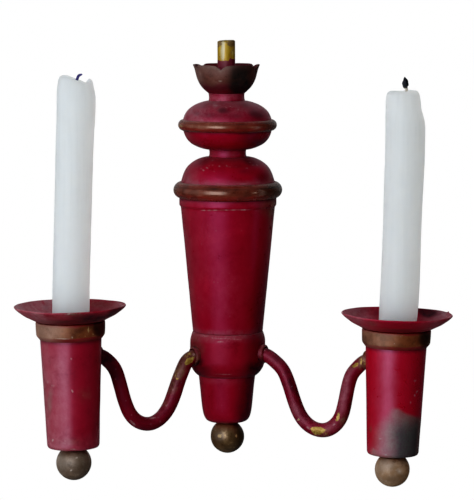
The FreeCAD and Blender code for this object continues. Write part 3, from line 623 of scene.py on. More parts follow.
BRONZE_PETAL = bronze("bronze_petals", 43.0, dark=(0.060, 0.020, 0.014), mid=(0.120, 0.040, 0.028), light=(0.19, 0.080, 0.058), rough=0.46, red=(0.11, 0.005, 0.014), metal=0.2, spec=0.5)
BRASS = stud_brass("stud_brass")
WAX_L = wax("wax_left", 2.0)
WAX_R = wax("wax_right", 40.0)
WICK_L = wick_cord("wick_left", (0.030, 0.022, 0.120), 1.0)
WICK_R = wick_cord("wick_right", (0.0012, 0.0012, 0.0035), 9.0)
STEEL = steel("plated_steel", (0.50, 0.49, 0.46), (0.26, 0.25, 0.24))
STEEL_DARK = steel("dull_steel", (0.30, 0.28, 0.25), (0.12, 0.11, 0.10), 0.45, 8.0, 0.5)
BRASS_NUT = steel("dull_brass", (0.48, 0.34, 0.12), (0.24, 0.16, 0.06), 0.40, 15.0, 0.2)


# ------------------------------------------------------------------- the column
def dents(seed, amount=0.09, size=16.0):
    """Slightly uneven spun metal; the same field for neighbours keeps the seams shut."""
    def f(R, Z, PH):
        p = np.stack([(R * np.sin(PH)).ravel(), (-R * np.cos(PH)).ravel(), Z.ravel()], 1)
        return R + (amount * fbm(p, size, seed, 2)).reshape(R.shape) * sstep(3.0, 9.0, R), Z
    return f


COL_DENT = dents(5)
ARM_BODY = "frame"

# lamp rod at the top
stud_line = outline([([(0, 108.4), (4.0, 108.4)], 0.1), ([(4.0, 108.4), (4.0, 97.4)], 0.1), ([(4.0, 97.4), (5.1, 97.4)], 0.15),
                     ([(5.1, 97.4), (5.1, 119.9)], 0.5), ([(5.1, 119.9), (4.45, 120.5)], 0.35), ([(4.45, 120.5), (2.2, 120.45)], 0.2),
                     ([(2.2, 120.45), (0, 120.1)], 0.0)], closed=False)


def stud_warp(R, Z, PH):
    p = np.stack([(R * np.sin(PH)).ravel(), (-R * np.cos(PH)).ravel(), Z.ravel()], 1)
    n = fbm(p * np.array([1, 1, 0.4]), 2.6, 8, 2).reshape(R.shape)
    low = sstep(119.0, 120.4, Z)
    # hammered top edge, a little lower at the front left
    Z = Z - low * (0.25 + 0.28 * np.cos(PH + 0.9) + 0.18 * n)
    outer = sstep(4.2, 4.9, R)
    return R - outer * 0.05 * (1 + n) * 0.7, Z


def stud_foot(V, N, L):
    """Red paint run up round the foot of the rod, ragged."""
    x, y = pix(V)
    edge = np.interp(x, [216, 219, 222, 226, 228.5, 230.3, 231.8, 236], [59.6, 60.3, 61.2, 60.4, 60.8, 57.4, 59.0, 58.6])
    return sstep(-1.1, 1.1, y - edge)


# the pale streak marks here are a painted highlight down the lit side of the rod
piece("top_stud_rod", lathe(stud_line, COLUMN, 96, False, stud_warp), BRASS, "frame", ["top_stud"], "brass", {
    "dust_and_sheen": lambda V, N, L: marks_at(V, N, [(222.8, 51.0, 2.2, 11.5, 0, 0.5, 0.80), (220.6, 54.5, 1.2, 5.0, 0, 0.6, 0.35), (223.4, 43.0, 3.0, 1.8, 0, 0.6, 0.5), (232.4, 52.0, 2.0, 6.0, 0, 0.8, 0.40)], 6, 0.25, 3.0),
    "grime_and_shade": lambda V, N, L: np.maximum(marks_at(V, N, [(231.6, 43.0, 4.2, 3.6, 0, 0.5, 1.0), (233.6, 47.5, 1.4, 4.0, 0, 0.6, 0.5), (219.6, 43.3, 2.4, 2.4, 0, 0.6, 0.7), (217.2, 52.0, 1.0, 13.0, 0, 0.7, 0.4),
                                                         (235.0, 54.0, 1.2, 12.0, 0, 0.7, 0.4), (229.8, 47.6, 1.0, 2.2, 0, 0.6, 0.45), (231.2, 53.0, 1.0, 4.0, 0, 0.6, 0.45), (233.8, 41.8, 2.2, 2.0, 0, 0.5, 1.0), (218.4, 46.5, 1.1, 1.4, 0, 0.6, 0.8), (219.6, 57.0, 1.0, 1.2, 0, 0.6, 0.6), (226.6, 42.2, 1.2, 1.0, 0, 0.6, 0.6), (232.6, 50.2, 0.9, 1.8, 0, 0.6, 0.5), (230.6, 45.6, 1.0, 1.0, 0, 0.6, 0.45), (233.4, 56.6, 0.9, 1.4, 0, 0.6, 0.4), (221.2, 41.6, 1.6, 0.9, 0, 0.6, 0.8)], 3, 0.35, 2.0),
                                        np.maximum(0.5 * sstep(119.4, 120.3, V[:, 2]), 0.6 * (1 - facing(V, N)))),
    "tint": stud_foot,
})


# petal cup: six hand-cut lobes
PETAL_OUT = run([(10.4, 90.3), (12.0, 91.6), (14.3, 94.0), (15.8, 96.4), (16.8, 98.8), (17.45, 101.2), (18.0, 103.4), (18.7, 105.5), (19.25, 106.55)], 0.5)
NOTCHES = np.radians([-134.0, -74.0, -14.0, 60.0, 116.0, 172.0])
NOTCH_DEPTH = np.array([2.0, 2.6, 2.7, 2.5, 1.9, 2.1])


def petal_geo(segs=264, rows=30):
    ph = np.arange(segs) * TAU / segs - math.pi
    zr, ro, lobe = np.zeros(segs), np.zeros(segs), np.zeros(segs)
    for j, a in enumerate(ph):
        k = np.searchsorted(NOTCHES, a) - 1
        lo = NOTCHES[k] if k >= 0 else NOTCHES[-1] - TAU
        hi = NOTCHES[k + 1] if k + 1 < len(NOTCHES) else NOTCHES[0] + TAU
        q = 2 * (a - lo) / (hi - lo) - 1
        depth = NOTCH_DEPTH[k % 6] if q < 0 else NOTCH_DEPTH[(k + 1) % 6]
        zr[j] = 106.5 - depth * abs(q) ** 4.6 - 0.25 * math.sin(3.1 * k + 1.0) ** 2 * (1 - q * q)
        lobe[j] = 1 - abs(q) ** 2.5
    zo = PETAL_OUT[:, 1]
    rout = PETAL_OUT[:, 0]
    t = np.linspace(0, 1, rows)[:, None] ** 0.85
    Zo = 90.3 + (zr[None, :] - 90.3) * t
    Ro = np.interp(Zo, zo, rout)
    up = sstep(96.0, 106.0, Zo)
    Ro = Ro + up * (0.22 * lobe[None, :] - 0.16)
    slope = np.gradient(Ro, axis=0) / np.gradient(Zo, axis=0)
    thick = 0.85
    nrm = np.sqrt(1 + slope ** 2)
    Ri = Ro - thick / nrm * 1.0
    Zi = Zo + thick * slope / nrm
    Zi = np.minimum(Zi, Zo + 0.9)
    keep = [i for i in range(rows) if (Zi[i] > 91.75).all()]
    rim_r = (Ro[-1] + Ri[-1]) / 2 + 0.12
    rim_z = np.maximum(Zo[-1], Zi[-1]) * 0.5 + Zo[-1] * 0.5 + 0.12
    Zi = np.minimum(Zi, rim_z[None, :] - 0.1)
    R = np.concatenate([Ro, rim_r[None, :], Ri[keep][::-1], np.full((1, segs), 10.2), np.full((1, segs), 7.0), np.full((1, segs), 4.1), np.full((1, segs), 4.1), np.full((1, segs), 7.2)])
    Z = np.concatenate([Zo, rim_z[None, :], Zi[keep][::-1], np.full((1, segs), 91.25), np.full((1, segs), 91.2), np.full((1, segs), 91.2), np.full((1, segs), 90.3), np.full((1, segs), 90.3)])
    n = len(R)
    PH = np.repeat(ph[None, :], n, 0)
    o, ex, ey, ez = COLUMN
    V = (o + (R * np.sin(PH))[..., None] * ex + (-R * np.cos(PH))[..., None] * ey + Z[..., None] * ez).reshape(-1, 3)
    V[:, 0] += stray(V[:, 2])
    inner = np.zeros((n, segs))
    inner[rows + 1:rows + 1 + len(keep) + 4] = 1.0
    F = []
    for i in range(n):
        a, b = i * segs, ((i + 1) % n) * segs
        for j in range(segs):
            k = (j + 1) % segs
            F.append((a + j, a + k, b + k, b + j))
    return (V, F, np.stack([R.ravel(), PH.ravel(), Z.ravel()], 1)), inner.ravel(), np.repeat(zr[None, :], n, 0).ravel()


petals, petal_inside, petal_rim = petal_geo()
# the pale dash on the bowl is a painted highlight and the darker bottom inside the cup is painted shade; the lobes
# also go black towards their right side
piece("petal_cup_lobes", petals, BRONZE_PETAL, "frame", ["petal_cup"], "bronze", {
    "tint": lambda V, N, L: np.maximum(petal_inside * 0.95, (1 - sstep(93.8, 97.0, V[:, 2] + 1.2 * vnoise(V, 5, 2))) * 0.98),
    "dust_and_sheen": lambda V, N, L: np.maximum((0.5 * sstep(0.3, 0.9, N[:, 2]) + 0.75 * sstep(0.62, 0.98, -N[:, 0]) + 0.35 * sstep(0.75, 0.98, N[:, 0])) * (1 - petal_inside), (1 - petal_inside) * (0.55 * sstep(-2.2, -0.2, L[:, 2] - petal_rim) + 0.40 * sstep(99.5, 104.5, L[:, 2])) * (1 - 0.85 * sstep(-5, 30, np.degrees(L[:, 1])) * (1 - sstep(80, 120, np.degrees(L[:, 1]))))),
    "scuff_and_highlight": lambda V, N, L: marks_at(V, N, [(220.4, 81.1, 2.8, 1.0, 0, 0.7, 0.42)], 5, 0.15),
    "grime_and_shade": lambda V, N, L: 0.36 * (1 - petal_inside) * (1 - sstep(93.5, 99.0, L[:, 2])) * sstep(91.0, 93.5, L[:, 2]) + (1 - petal_inside) * sstep(225.0, 236.0, pix(V)[0] + 2.5 * vnoise(V, 5, 77)) * (1 - 0.35 * sstep(102.5, 106.0, V[:, 2])) * (1 - 0.80 * sstep(245, 253, pix(V)[0])) * sstep(-0.35, 0.1, -N[:, 1] + 0.5) + 0.55 * petal_inside * (1 - sstep(96, 104, V[:, 2])),
}, 50)

# darker just under the petal cup: painted shade
piece("upper_neck_collar", lathe(outline([([(4.1, 86.0), (10.45, 86.0)], 0.25), ([(10.45, 86.0), (10.2, 87.0), (10.12, 88.3), (10.4, 90.3)], 0.2),
                                          ([(10.4, 90.3), (4.1, 90.3)], 0.1), ([(4.1, 90.3), (4.1, 86.0)], 0.1)]), COLUMN, 96, True, COL_DENT),
      RED_DUSTY, "frame", ["upper_neck"], "red_paint", {
          "dust_and_sheen": lambda V, N, L: 0.40 + 0.3 * vnoise(V, 6, 4), "speck": lambda V, N, L: 0.5,
          "grime_and_shade": lambda V, N, L: 0.35 * sstep(89.2, 90.2, V[:, 2])})

bulb_up = run([(10.4, 86.0), (15.3, 84.85), (20.2, 82.5), (22.8, 80.3), (24.35, 78.0), (25.3, 75.2)])
bulb_up_in = run([(24.3, 75.2), (23.4, 77.7), (21.9, 79.8), (19.6, 81.6), (15.0, 83.85), (10.2, 85.0)])
# paler left flank: dust, and painted light on the lit side
piece("bulb_upper_half", lathe(outline([(bulb_up, 0.1), ([(25.3, 75.2), (25.3, 72.05)], 0.1), ([(25.3, 72.05), (24.3, 72.05)], 0.1), ([(24.3, 72.05), (24.3, 75.2)], 0.1),
                                        (bulb_up_in, 0.1), ([(10.2, 85.0), (4.1, 85.0)], 0.1), ([(4.1, 85.0), (4.1, 86.0)], 0.1), ([(4.1, 86.0), (10.4, 86.0)], 0.25)]), COLUMN, 128, True, COL_DENT),
      RED_DUSTY, "frame", ["bulb_upper_shell"], "red_paint", {
          "dust_and_sheen": lambda V, N, L: np.clip(0.60 * sstep(0.25, 0.95, N[:, 2]) * (0.80 + 0.6 * fbm(V, 9, 6)) + 0.58 * sstep(0.2, 0.9, -N[:, 0]) + 0.14 + 0.10 * (1 - sstep(75.4, 77.0, V[:, 2])), 0, 1),
          "speck": lambda V, N, L: 0.8 * sstep(0.2, 0.7, N[:, 2]),
          "scuff_and_highlight": lambda V, N, L: marks_at(V, N, [(217, 105.5, 7, 0.8, 3, 0.7, 0.35), (226, 107.2, 2.5, 1.0, 30, 0.6, 0.45), (238, 110, 1.2, 1.0, 0, 0.6, 0.5), (199.5, 110.5, 1.2, 0.8, 0, 0.6, 0.4), (191, 121.6, 3, 0.7, 0, 0.6, 0.5), (224, 119, 2.0, 0.8, 0, 0.6, 0.35)], 61),
          "grime_and_shade": lambda V, N, L: np.maximum(marks_at(V, N, [(223, 110.8, 5.5, 2.8, 0, 0.7, 0.75), (257, 114.5, 8, 4.5, 20, 0.7, 0.7), (245, 105.5, 5, 3.0, 0, 0.8, 0.40), (204, 106.5, 4.5, 1.6, -15, 0.7, 0.30), (212, 115.4, 10, 2.6, 0, 0.8, 0.42), (234, 116, 9, 2.4, 0, 0.8, 0.38), (197, 113.5, 4, 2.0, 15, 0.8, 0.35)], 71, 0.45, 4.0),
                                              0.16 * sstep(0.05, 0.5, vnoise(V, 5, 12)) * sstep(0.2, 0.6, N[:, 2]) * (1 - sstep(0.1, 0.6, -N[:, 0])))})

# red towards the underside: red paint and a painted reflection of the red bulb below; the darker underside, right
# flank and crease line are painted shade
piece("upper_bead", lathe(outline([(arc((25.3, 68.9), (28.3, 72.05), (25.3, 75.2), 26), 0.15), ([(25.3, 75.2), (25.3, 68.9)], 0.15)]), COLUMN, 144, True, dents(9, 0.07, 9)),
      BRONZE_RING, "frame", ["upper_bead_ring"], "bronze", {
          "tint": lambda V, N, L: np.clip(0.5 * sstep(0.1, 0.9, N[:, 2]) + 1.0 * sstep(0.0, 0.55, -N[:, 2]) + 0.30 * flank(L, -25, 15, 80, 120) + 0.25 * fbm(V, 8, 3), 0, 1),
          "edge": lambda V, N, L: 0.50 * sstep(0.78, 0.98, -N[:, 0]) + 0.30 * sstep(0.90, 1.0, N[:, 0]),
          "dust_and_sheen": lambda V, N, L: np.maximum(0.85 * sstep(0.80, 0.98, N[:, 2]), 0.30 * sstep(0.35, 0.8, N[:, 2]) * sstep(-0.2, 0.5, vnoise(V, 6, 35))),
          "grime_and_shade": lambda V, N, L: np.clip(0.40 * sstep(0.45, 0.95, -N[:, 2]) + 0.42 * flank(L, 30, 56, 95, 140, 8 * vnoise(V, 5, 36)) + 0.20 * sstep(0.1, 0.6, vnoise(V, 4, 37)) + (0.34 + 0.22 * vnoise(V, 5, 38)) * np.exp(-((N[:, 2] - 0.60) / 0.13) ** 2), 0, 1)})

bulb_low = run([(25.3, 68.9), (24.6, 66.5), (23.4, 64.2), (21.35, 61.9), (17.4, 59.65), (13.8, 58.45), (10.7, 58.0)])
bulb_low_in = run([(10.5, 59.0), (13.6, 59.4), (17.0, 60.6), (20.6, 62.6), (22.5, 64.7), (23.6, 66.8), (24.3, 68.9)])
# paler left flank: dust and painted light; darker at the foot, under the bead and on the right: painted shade
piece("bulb_lower_half", lathe(outline([([(25.3, 72.05), (25.3, 68.9)], 0.1), (bulb_low, 0.2), ([(10.7, 58.0), (4.1, 58.0)], 0.1), ([(4.1, 58.0), (4.1, 59.0)], 0.1), ([(4.1, 59.0), (10.5, 59.0)], 0.1),
                                        (bulb_low_in, 0.1), ([(24.3, 68.9), (24.3, 72.05)], 0.1), ([(24.3, 72.05), (25.3, 72.05)], 0.1)]), COLUMN, 128, True, COL_DENT),
      RED_COLUMN, "frame", ["bulb_lower_shell"], "red_paint", {
          "dust_and_sheen": lambda V, N, L: 0.55 * sstep(0.55, 0.95, -N[:, 0]) * sstep(0.1, 0.6, 0.5 + fbm(V, 9, 66)),
          "tint": lambda V, N, L: 0.4 * sstep(0.78, 0.98, -N[:, 0]) * sstep(64, 68, V[:, 2]),
          "grime_and_shade": lambda V, N, L: np.clip(0.45 * (1 - sstep(58.4, 60.6, V[:, 2])) + 0.45 * sstep(67.4, 68.9, V[:, 2]) + 0.45 * sstep(0.0, 0.6, N[:, 0] + 0.25 * vnoise(V, 9, 67)) * (1 - sstep(63, 67.0, V[:, 2])) + 0.42 * sstep(0.04, 0.34, N[:, 0] + 0.10 * vnoise(V, 9, 68)) * (1 - 0.7 * sstep(0.50, 0.80, N[:, 0])), 0, 1)})

# darker at the top under the bulb: painted shade
piece("lower_neck_collar", lathe(outline([([(4.1, 53.9), (10.9, 53.9)], 0.3), ([(10.9, 53.9), (10.55, 54.9), (10.45, 56.2), (10.7, 58.0)], 0.2),
                                          ([(10.7, 58.0), (4.1, 58.0)], 0.1), ([(4.1, 58.0), (4.1, 53.9)], 0.1)]), COLUMN, 96, True, COL_DENT),
      RED_COLUMN, "frame", ["lower_neck"], "red_paint", {
          "dust_and_sheen": lambda V, N, L: 0.32 + 0.25 * vnoise(V, 6, 14), "speck": lambda V, N, L: 0.3,
          "grime_and_shade": lambda V, N, L: 0.30 * sstep(56.8, 57.9, V[:, 2])})

dome = run([(10.7, 53.9), (16.5, 52.75), (20.7, 50.4), (23.3, 48.0), (25.2, 44.7), (26.35, 41.4), (27.3, 37.6)])
dome_in = run([(26.3, 37.6), (25.4, 41.1), (24.3, 44.2), (22.5, 47.3), (20.1, 49.6), (16.2, 51.75), (10.5, 52.9)])
# paler left flank: dust, and painted light on the lit side
piece("shoulder_dome_shell", lathe(outline([(dome, 0.1), ([(27.3, 37.6), (27.3, 34.85)], 0.1), ([(27.3, 34.85), (26.3, 34.85)], 0.1), ([(26.3, 34.85), (26.3, 37.6)], 0.1),
                                            (dome_in, 0.1), ([(10.5, 52.9), (4.1, 52.9)], 0.1), ([(4.1, 52.9), (4.1, 53.9)], 0.1), ([(4.1, 53.9), (10.7, 53.9)], 0.3)]), COLUMN, 128, True, COL_DENT),
      RED_COLUMN, "frame", ["shoulder_dome"], "red_paint", {
          "dust_and_sheen": lambda V, N, L: np.clip(0.42 * sstep(0.62, 0.98, N[:, 2]) * (0.8 + 0.6 * fbm(V, 8, 26)) + 0.92 * (1 - sstep(39.4, 43.2, V[:, 2] + 0.9 * vnoise(V, 5, 27))) + 0.85 * sstep(0.50, 0.95, -N[:, 0]), 0, 1),
          "tint": lambda V, N, L: 0.35 * sstep(0.75, 1.0, -N[:, 0]) + 0.5 * sstep(0.62, 0.98, N[:, 0]),
          "speck": lambda V, N, L: 0.8 * sstep(0.35, 0.7, N[:, 2]),
          "scuff_and_highlight": lambda V, N, L: 1.15 * marks_at(V, N, [(203.6, 170.2, 1.5, 0.9, -15, 0.8, 0.58), (207.0, 167.8, 1.5, 0.9, 20, 0.8, 0.52), (201.2, 168.6, 1.1, 0.8, 0, 0.8, 0.52), (209.4, 166.0, 1.0, 0.8, 0, 0.8, 0.45), (219.8, 166.4, 1.1, 0.9, 0, 0.8, 0.58), (222.4, 163.0, 1.0, 0.7, 0, 0.8, 0.42), (226.8, 165.8, 1.4, 0.8, 25, 0.8, 0.44), (232.4, 164.2, 1.0, 0.7, 0, 0.8, 0.40), (213.0, 165.2, 0.9, 0.7, 0, 0.8, 0.40),
                                                   (229.6, 166.8, 1.3, 1.1, 45, 0.8, 0.40), (246.8, 168.2, 1.2, 0.9, 0, 0.8, 0.45), (218.6, 180.0, 1.4, 0.9, 0, 0.9, 0.28), (214.5, 171.5, 0.9, 0.8, 0, 0.8, 0.40), (252.5, 165.0, 2.6, 0.9, 0, 0.8, 0.30), (195, 184.5, 7, 0.8, 4, 0.8, 0.36), (222, 184.2, 8, 0.7, 0, 0.8, 0.28), (240, 183.8, 9, 0.8, 0, 0.8, 0.34)], 81),
          "grime_and_shade": lambda V, N, L: np.maximum(marks_at(V, N, [(203, 162.2, 6.5, 3.2, -10, 0.7, 0.50), (251, 162.5, 9, 4.0, 10, 0.7, 0.65), (219, 161.5, 9, 1.6, 0, 0.8, 0.18), (238, 166, 6, 2.4, 0, 0.8, 0.32), (262, 178, 5, 5, 0, 0.8, 0.4), (213, 160.4, 8, 2.0, 0, 0.8, 0.20), (234, 160.8, 8, 2.2, 0, 0.8, 0.22), (224, 166.0, 5, 1.6, 10, 0.8, 0.18), (244, 171, 5, 2.4, 0, 0.9, 0.35)], 91, 0.45, 4.0),
                                              0.20 * sstep(0.0, 0.5, vnoise(V, 6, 32)) * sstep(0.35, 0.75, N[:, 2]))})

# red towards the underside: red paint and a painted reflection of the red rim below; the pale marks on the highlight
# line are painted highlights; the crease line and right flank are painted shade
piece("lower_bead", lathe(outline([(arc((27.3, 30.2), (31.2, 34.85), (27.3, 39.5), 30), 0.2), ([(27.3, 39.5), (27.3, 30.2)], 0.2)]), COLUMN, 144, True, dents(13, 0.10, 10)),
      BRONZE_RING, "frame", ["lower_bead_ring"], "bronze", {
          "tint": lambda V, N, L: np.clip(0.45 * sstep(0.2, 0.9, N[:, 2]) + 1.0 * sstep(0.1, 0.7, -N[:, 2]) + 0.25 * fbm(V, 9, 5), 0, 1),
          "edge": lambda V, N, L: 0.42 * sstep(0.80, 0.98, -N[:, 0]),
          "dust_and_sheen": lambda V, N, L: 0.9 * sstep(0.76, 0.98, N[:, 2]),
          "scuff_and_highlight": lambda V, N, L: marks_at(V, N, [(243, 192.3, 9, 0.7, 0, 0.7, 0.25), (229, 192.8, 3, 0.7, 0, 0.7, 0.25)], 95),
          "grime_and_shade": lambda V, N, L: np.clip((0.34 + 0.22 * vnoise(V, 5, 54)) * np.exp(-((N[:, 2] - 0.52) / 0.13) ** 2), 0, 1) + np.maximum(0.34 * sstep(0.1, 0.6, vnoise(V, 5, 52)), np.maximum(0.68 * flank(L, 24, 52, 95, 140, 8 * vnoise(V, 5, 53)), marks_at(V, N, [(214, 188.3, 7, 1.6, 0, 0.8, 0.5)], 55)))})

cone_out = outline([([(26.3, 34.85), (27.3, 34.85)], 0.1), ([(27.3, 34.85), (27.3, 30.2)], 0.1), ([(27.3, 30.2), (27.85, 30.2)], 0.25), ([(27.85, 30.2), (27.85, 26.3)], 0.55), ([(27.85, 26.3), (27.0, 25.1)], 0.5),
                    ([(27.0, 25.1), (20.14, -46.7)], 0.1), ([(20.14, -46.7), (19.14, -46.7)], 0.1), ([(19.14, -46.7), (26.0, 25.1)], 0.1), ([(26.0, 25.1), (26.3, 26.3)], 0.1), ([(26.3, 26.3), (26.3, 34.85)], 0.1)])
def cone_line(V, N, L):
    """Dotted wear just under the rim."""
    x, y = pix(V)
    along = sstep(199, 203, x) * (1 - sstep(251, 255, x))
    return facing(V, N) * along * np.exp(-((y - 210.5 + 0.014 * (x - 200)) / 0.9) ** 2) * (0.44 + 0.26 * vnoise(V, 1.5, 71))


# darker under the bead rim, at the foot against the hub and on the lower right side: painted shade; paler left flank:
# dust and painted light
piece("main_cone_shell", lathe(cone_out, COLUMN, 176, True, COL_DENT), RED_COLUMN, "frame", ["main_cone"], "red_paint", {
    "scuff_and_highlight": cone_line,
    "edge": lambda V, N, L: 0.3 * np.exp(-((L[:, 2] - 25.6) / 0.6) ** 2) * (L[:, 0] > 26.4) + 0.25 * np.exp(-((L[:, 2] + 46.0) / 1.0) ** 2),
    "dust_and_sheen": lambda V, N, L: 0.16 * sstep(26.4, 29.0, L[:, 2]) * (L[:, 0] > 27.0) + 0.14 * sstep(0.0, 1.0, 0.5 + fbm(V, 22, 81)) + 0.38 * sstep(0.8, 1.0, -N[:, 0]) + 0.55 * (1 - sstep(-46.2, -42.8, L[:, 2] + 0.6 * vnoise(V, 5, 82))),
    "tint": lambda V, N, L: 0.55 * sstep(0.72, 1.0, N[:, 0]) * sstep(-10, 26, L[:, 2]) + 0.5 * marks_at(V, N, [(268, 206, 9, 9, 0, 0.8, 1.0)], 72),
    "speck": lambda V, N, L: 0.12,
    "grime_and_shade": lambda V, N, L: np.clip(0.14 * (1 - sstep(-46.7, -44.5, L[:, 2])) + 0.6 * sstep(28.6, 30.2, L[:, 2]) * (L[:, 0] > 27.4) + 0.52 * sstep(0.40, 0.92, N[:, 0] + 0.12 * vnoise(V, 12, 73)) * (1 - sstep(-34, 8, L[:, 2])), 0, 1)})

hub_line = outline([([(4.1, -72.4), (16.6, -72.4)], 0.3), ([(16.6, -72.4), (17.9, -71.4), (19.3, -69.8), (20.5, -67.8), (21.3, -65.4), (21.6, -63.0)], 0.3), ([(21.6, -63.0), (21.6, -52.0)], 0.5), ([(21.6, -52.0), (21.45, -51.0), (20.2, -46.9)], 0.35), ([(20.2, -46.9), (18.9, -46.7)], 0.15),
                    ([(18.9, -46.7), (18.9, -43.7)], 0.1), ([(18.9, -43.7), (15.6, -43.7)], 0.1), ([(15.6, -43.7), (15.6, -69.4)], 0.1), ([(15.6, -69.4), (4.1, -69.4)], 0.1), ([(4.1, -69.4), (4.1, -72.4)], 0.1)])
# the paler lower rounding is dust and painted light on a downward face; the front marks on the top bevel and the pale
# line near the foot are painted highlights; the dark marks are painted shade on the undersides, the right and lower
# sides, round the arm roots and under the collars
piece("arm_hub_drum", lathe(hub_line, COLUMN, 176, True, dents(21, 0.10, 14)), RED_HUB, "frame", ["arm_hub"], "red_paint", {
    "edge": lambda V, N, L: np.maximum(0.34 * np.exp(-((L[:, 2] + 47.2) / 0.7) ** 2), 0.30 * np.exp(-((L[:, 2] + 51.3) / 0.7) ** 2)),
    "dust_and_sheen": lambda V, N, L: 0.85 * sstep(0.06, 0.5, N[:, 2]) + 0.06 + 0.40 * (1 - sstep(-72.2, -70.6, L[:, 2])),
    "scuff_and_highlight": lambda V, N, L: np.maximum(marks_at(V, N, [(220, 341.8, 4.5, 1.0, 0, 0.8, 0.52), (222, 338.3, 13, 0.7, 0, 0.8, 0.42), (205, 336, 9, 1.2, 5, 0.9, 0.34), (240, 334, 3, 1.0, -20, 0.8, 0.36), (199, 333, 5, 0.8, 8, 0.8, 0.36), (236, 339.4, 7, 0.7, -3, 0.8, 0.34), (224, 374.4, 12, 0.7, 0, 0.8, 0.42)], 101), 0.0),
    "speck": lambda V, N, L: 0.4 * sstep(0.1, 0.5, N[:, 2]),
    "tint": lambda V, N, L: marks_at(V, N, [(195.5, 350, 6.5, 8.0, 0, 0.7, 0.75), (195, 340, 4, 6, 0, 0.8, 0.4)], 103, 0.4, 4.0),
    "grime_and_shade": lambda V, N, L: np.maximum(np.maximum(0.22 * sstep(0.5, 1.0, -N[:, 2]), 0.50 * sstep(0.20, 0.80, N[:, 0] + 0.12 * vnoise(V, 10, 107)) + (1 - sstep(-67, -60, L[:, 2])) * (0.72 * sstep(0.25, 0.75, -N[:, 0]) + 0.45 * sstep(0.05, 0.6, N[:, 0]))), np.maximum(0.75 * np.exp(-((np.abs(L[:, 1]) - math.radians(63)) / 0.40) ** 2 - ((L[:, 2] + 61) / 8.5) ** 2), marks_at(V, N, [(199.5, 363.5, 5.0, 6.0, 10, 0.7, 0.85), (258.0, 362.0, 5.0, 5.0, -10, 0.8, 0.6)], 109, 0.3, 4.0)))})

low_line = outline([([(16.3, -72.4), (15.45, -80.4), (14.75, -87.5), (14.2, -92.1), (13.75, -94.5), (12.95, -96.8), (11.9, -98.3), (9.6, -99.4)], 0.25), ([(9.6, -99.4), (4.1, -99.4)], 0.1), ([(4.1, -99.4), (4.1, -98.3)], 0.1), ([(4.1, -98.3), (9.2, -98.3)], 0.1),
                    ([(9.2, -98.3), (10.9, -97.6), (11.95, -96.2), (12.75, -94.2), (13.2, -92.0), (13.75, -87.5), (14.45, -80.4), (15.3, -72.4)], 0.1), ([(15.3, -72.4), (16.3, -72.4)], 0.25)])
# pale ring at the top: painted highlight; darker at the foot and on the right: painted shade
piece("lower_cone_shell", lathe(low_line, COLUMN, 128, True, COL_DENT), RED_COLUMN, "frame", ["lower_cone"], "red_paint", {
    "scuff_and_highlight": lambda V, N, L: 0.40 * np.exp(-((L[:, 2] + 73.4) / 0.5) ** 2) * (0.5 + 0.5 * vnoise(V, 4, 111)),
    "dust_and_sheen": lambda V, N, L: 0.05 + 0.2 * np.exp(-((L[:, 2] + 74.0) / 2.0) ** 2), "speck": lambda V, N, L: 0.1,
    "grime_and_shade": lambda V, N, L: np.clip(0.40 * (1 - sstep(-99.4, -96.5, L[:, 2])) + 0.74 * sstep(0.05, 0.75, N[:, 0] + 0.12 * vnoise(V, 10, 113)), 0, 1)})


def ball_geo(axes, radius, depth, seat, hole_r, hole_end, seed):
    flat = math.sqrt(radius ** 2 - (seat - depth) ** 2)
    a0, a1 = -math.pi / 2, math.asin((seat - depth) / radius)
    t = np.linspace(a0, a1, 46)
    sphere = np.stack([radius * np.cos(t), depth + radius * np.sin(t)], 1)
    sphere[0, 0] = 0.0
    line = outline([(sphere, 0.35), ([(flat, seat), (hole_r, seat)], 0.2), ([(hole_r, seat), (hole_r, hole_end)], 0.2), ([(hole_r, hole_end), (0, hole_end)], 0.0)], closed=False)

    def warp(R, Z, PH):
        p = np.stack([(R * np.sin(PH)).ravel(), (-R * np.cos(PH)).ravel(), Z.ravel()], 1)
        n = (0.09 * (fbm(p, 5.0, seed, 3) - 0.8)).reshape(R.shape)
        far = np.sqrt(R ** 2 + (Z - depth) ** 2)
        skin = sstep(radius * 0.94, radius * 0.985, far) * (1 - sstep(seat - 0.8, seat - 0.1, Z))
        k = 1 + skin * n / np.maximum(far, 1)
        return R * k, depth + (Z - depth) * k
    return lathe(line, axes, 88, False, warp)


# red on top: painted reflection of the red cone; the pale and gold marks at the front left are painted highlights;
# dark right half: painted shade
piece("bottom_ball", ball_geo(COLUMN, 9.8, -108.2, -99.8, 4.05, -111.0, 61), BRONZE_DARK, "bottom_finial", ["bottom_finial"], "bronze", {
    "tint": lambda V, N, L: 0.7 * sstep(0.30, 0.8, N[:, 2]), "speck": lambda V, N, L: 0.5,
    "dust_and_sheen": lambda V, N, L: marks_at(V, N, [(219.0, 436.6, 4.0, 4.2, 0, 0.9, 0.8)], 67, 0.3, 4.0),
    "edge": lambda V, N, L: marks_at(V, N, [(220.2, 436.0, 2.6, 1.8, -10, 0.6, 0.95), (225.0, 435.8, 1.2, 2.2, 0, 0.6, 0.6), (236.2, 436.2, 0.9, 1.8, 0, 0.6, 0.9), (230, 444, 1.0, 0.8, 0, 0.6, 0.5)], 64),
    "grime_and_shade": lambda V, N, L: np.maximum(0.40 * sstep(0.0, 0.5, vnoise(V, 6, 63)), 0.55 * flank(L, 5, 45, 95, 140, 10 * vnoise(V, 4, 65)) * sstep(1.5, 5.0, L[:, 0]))})

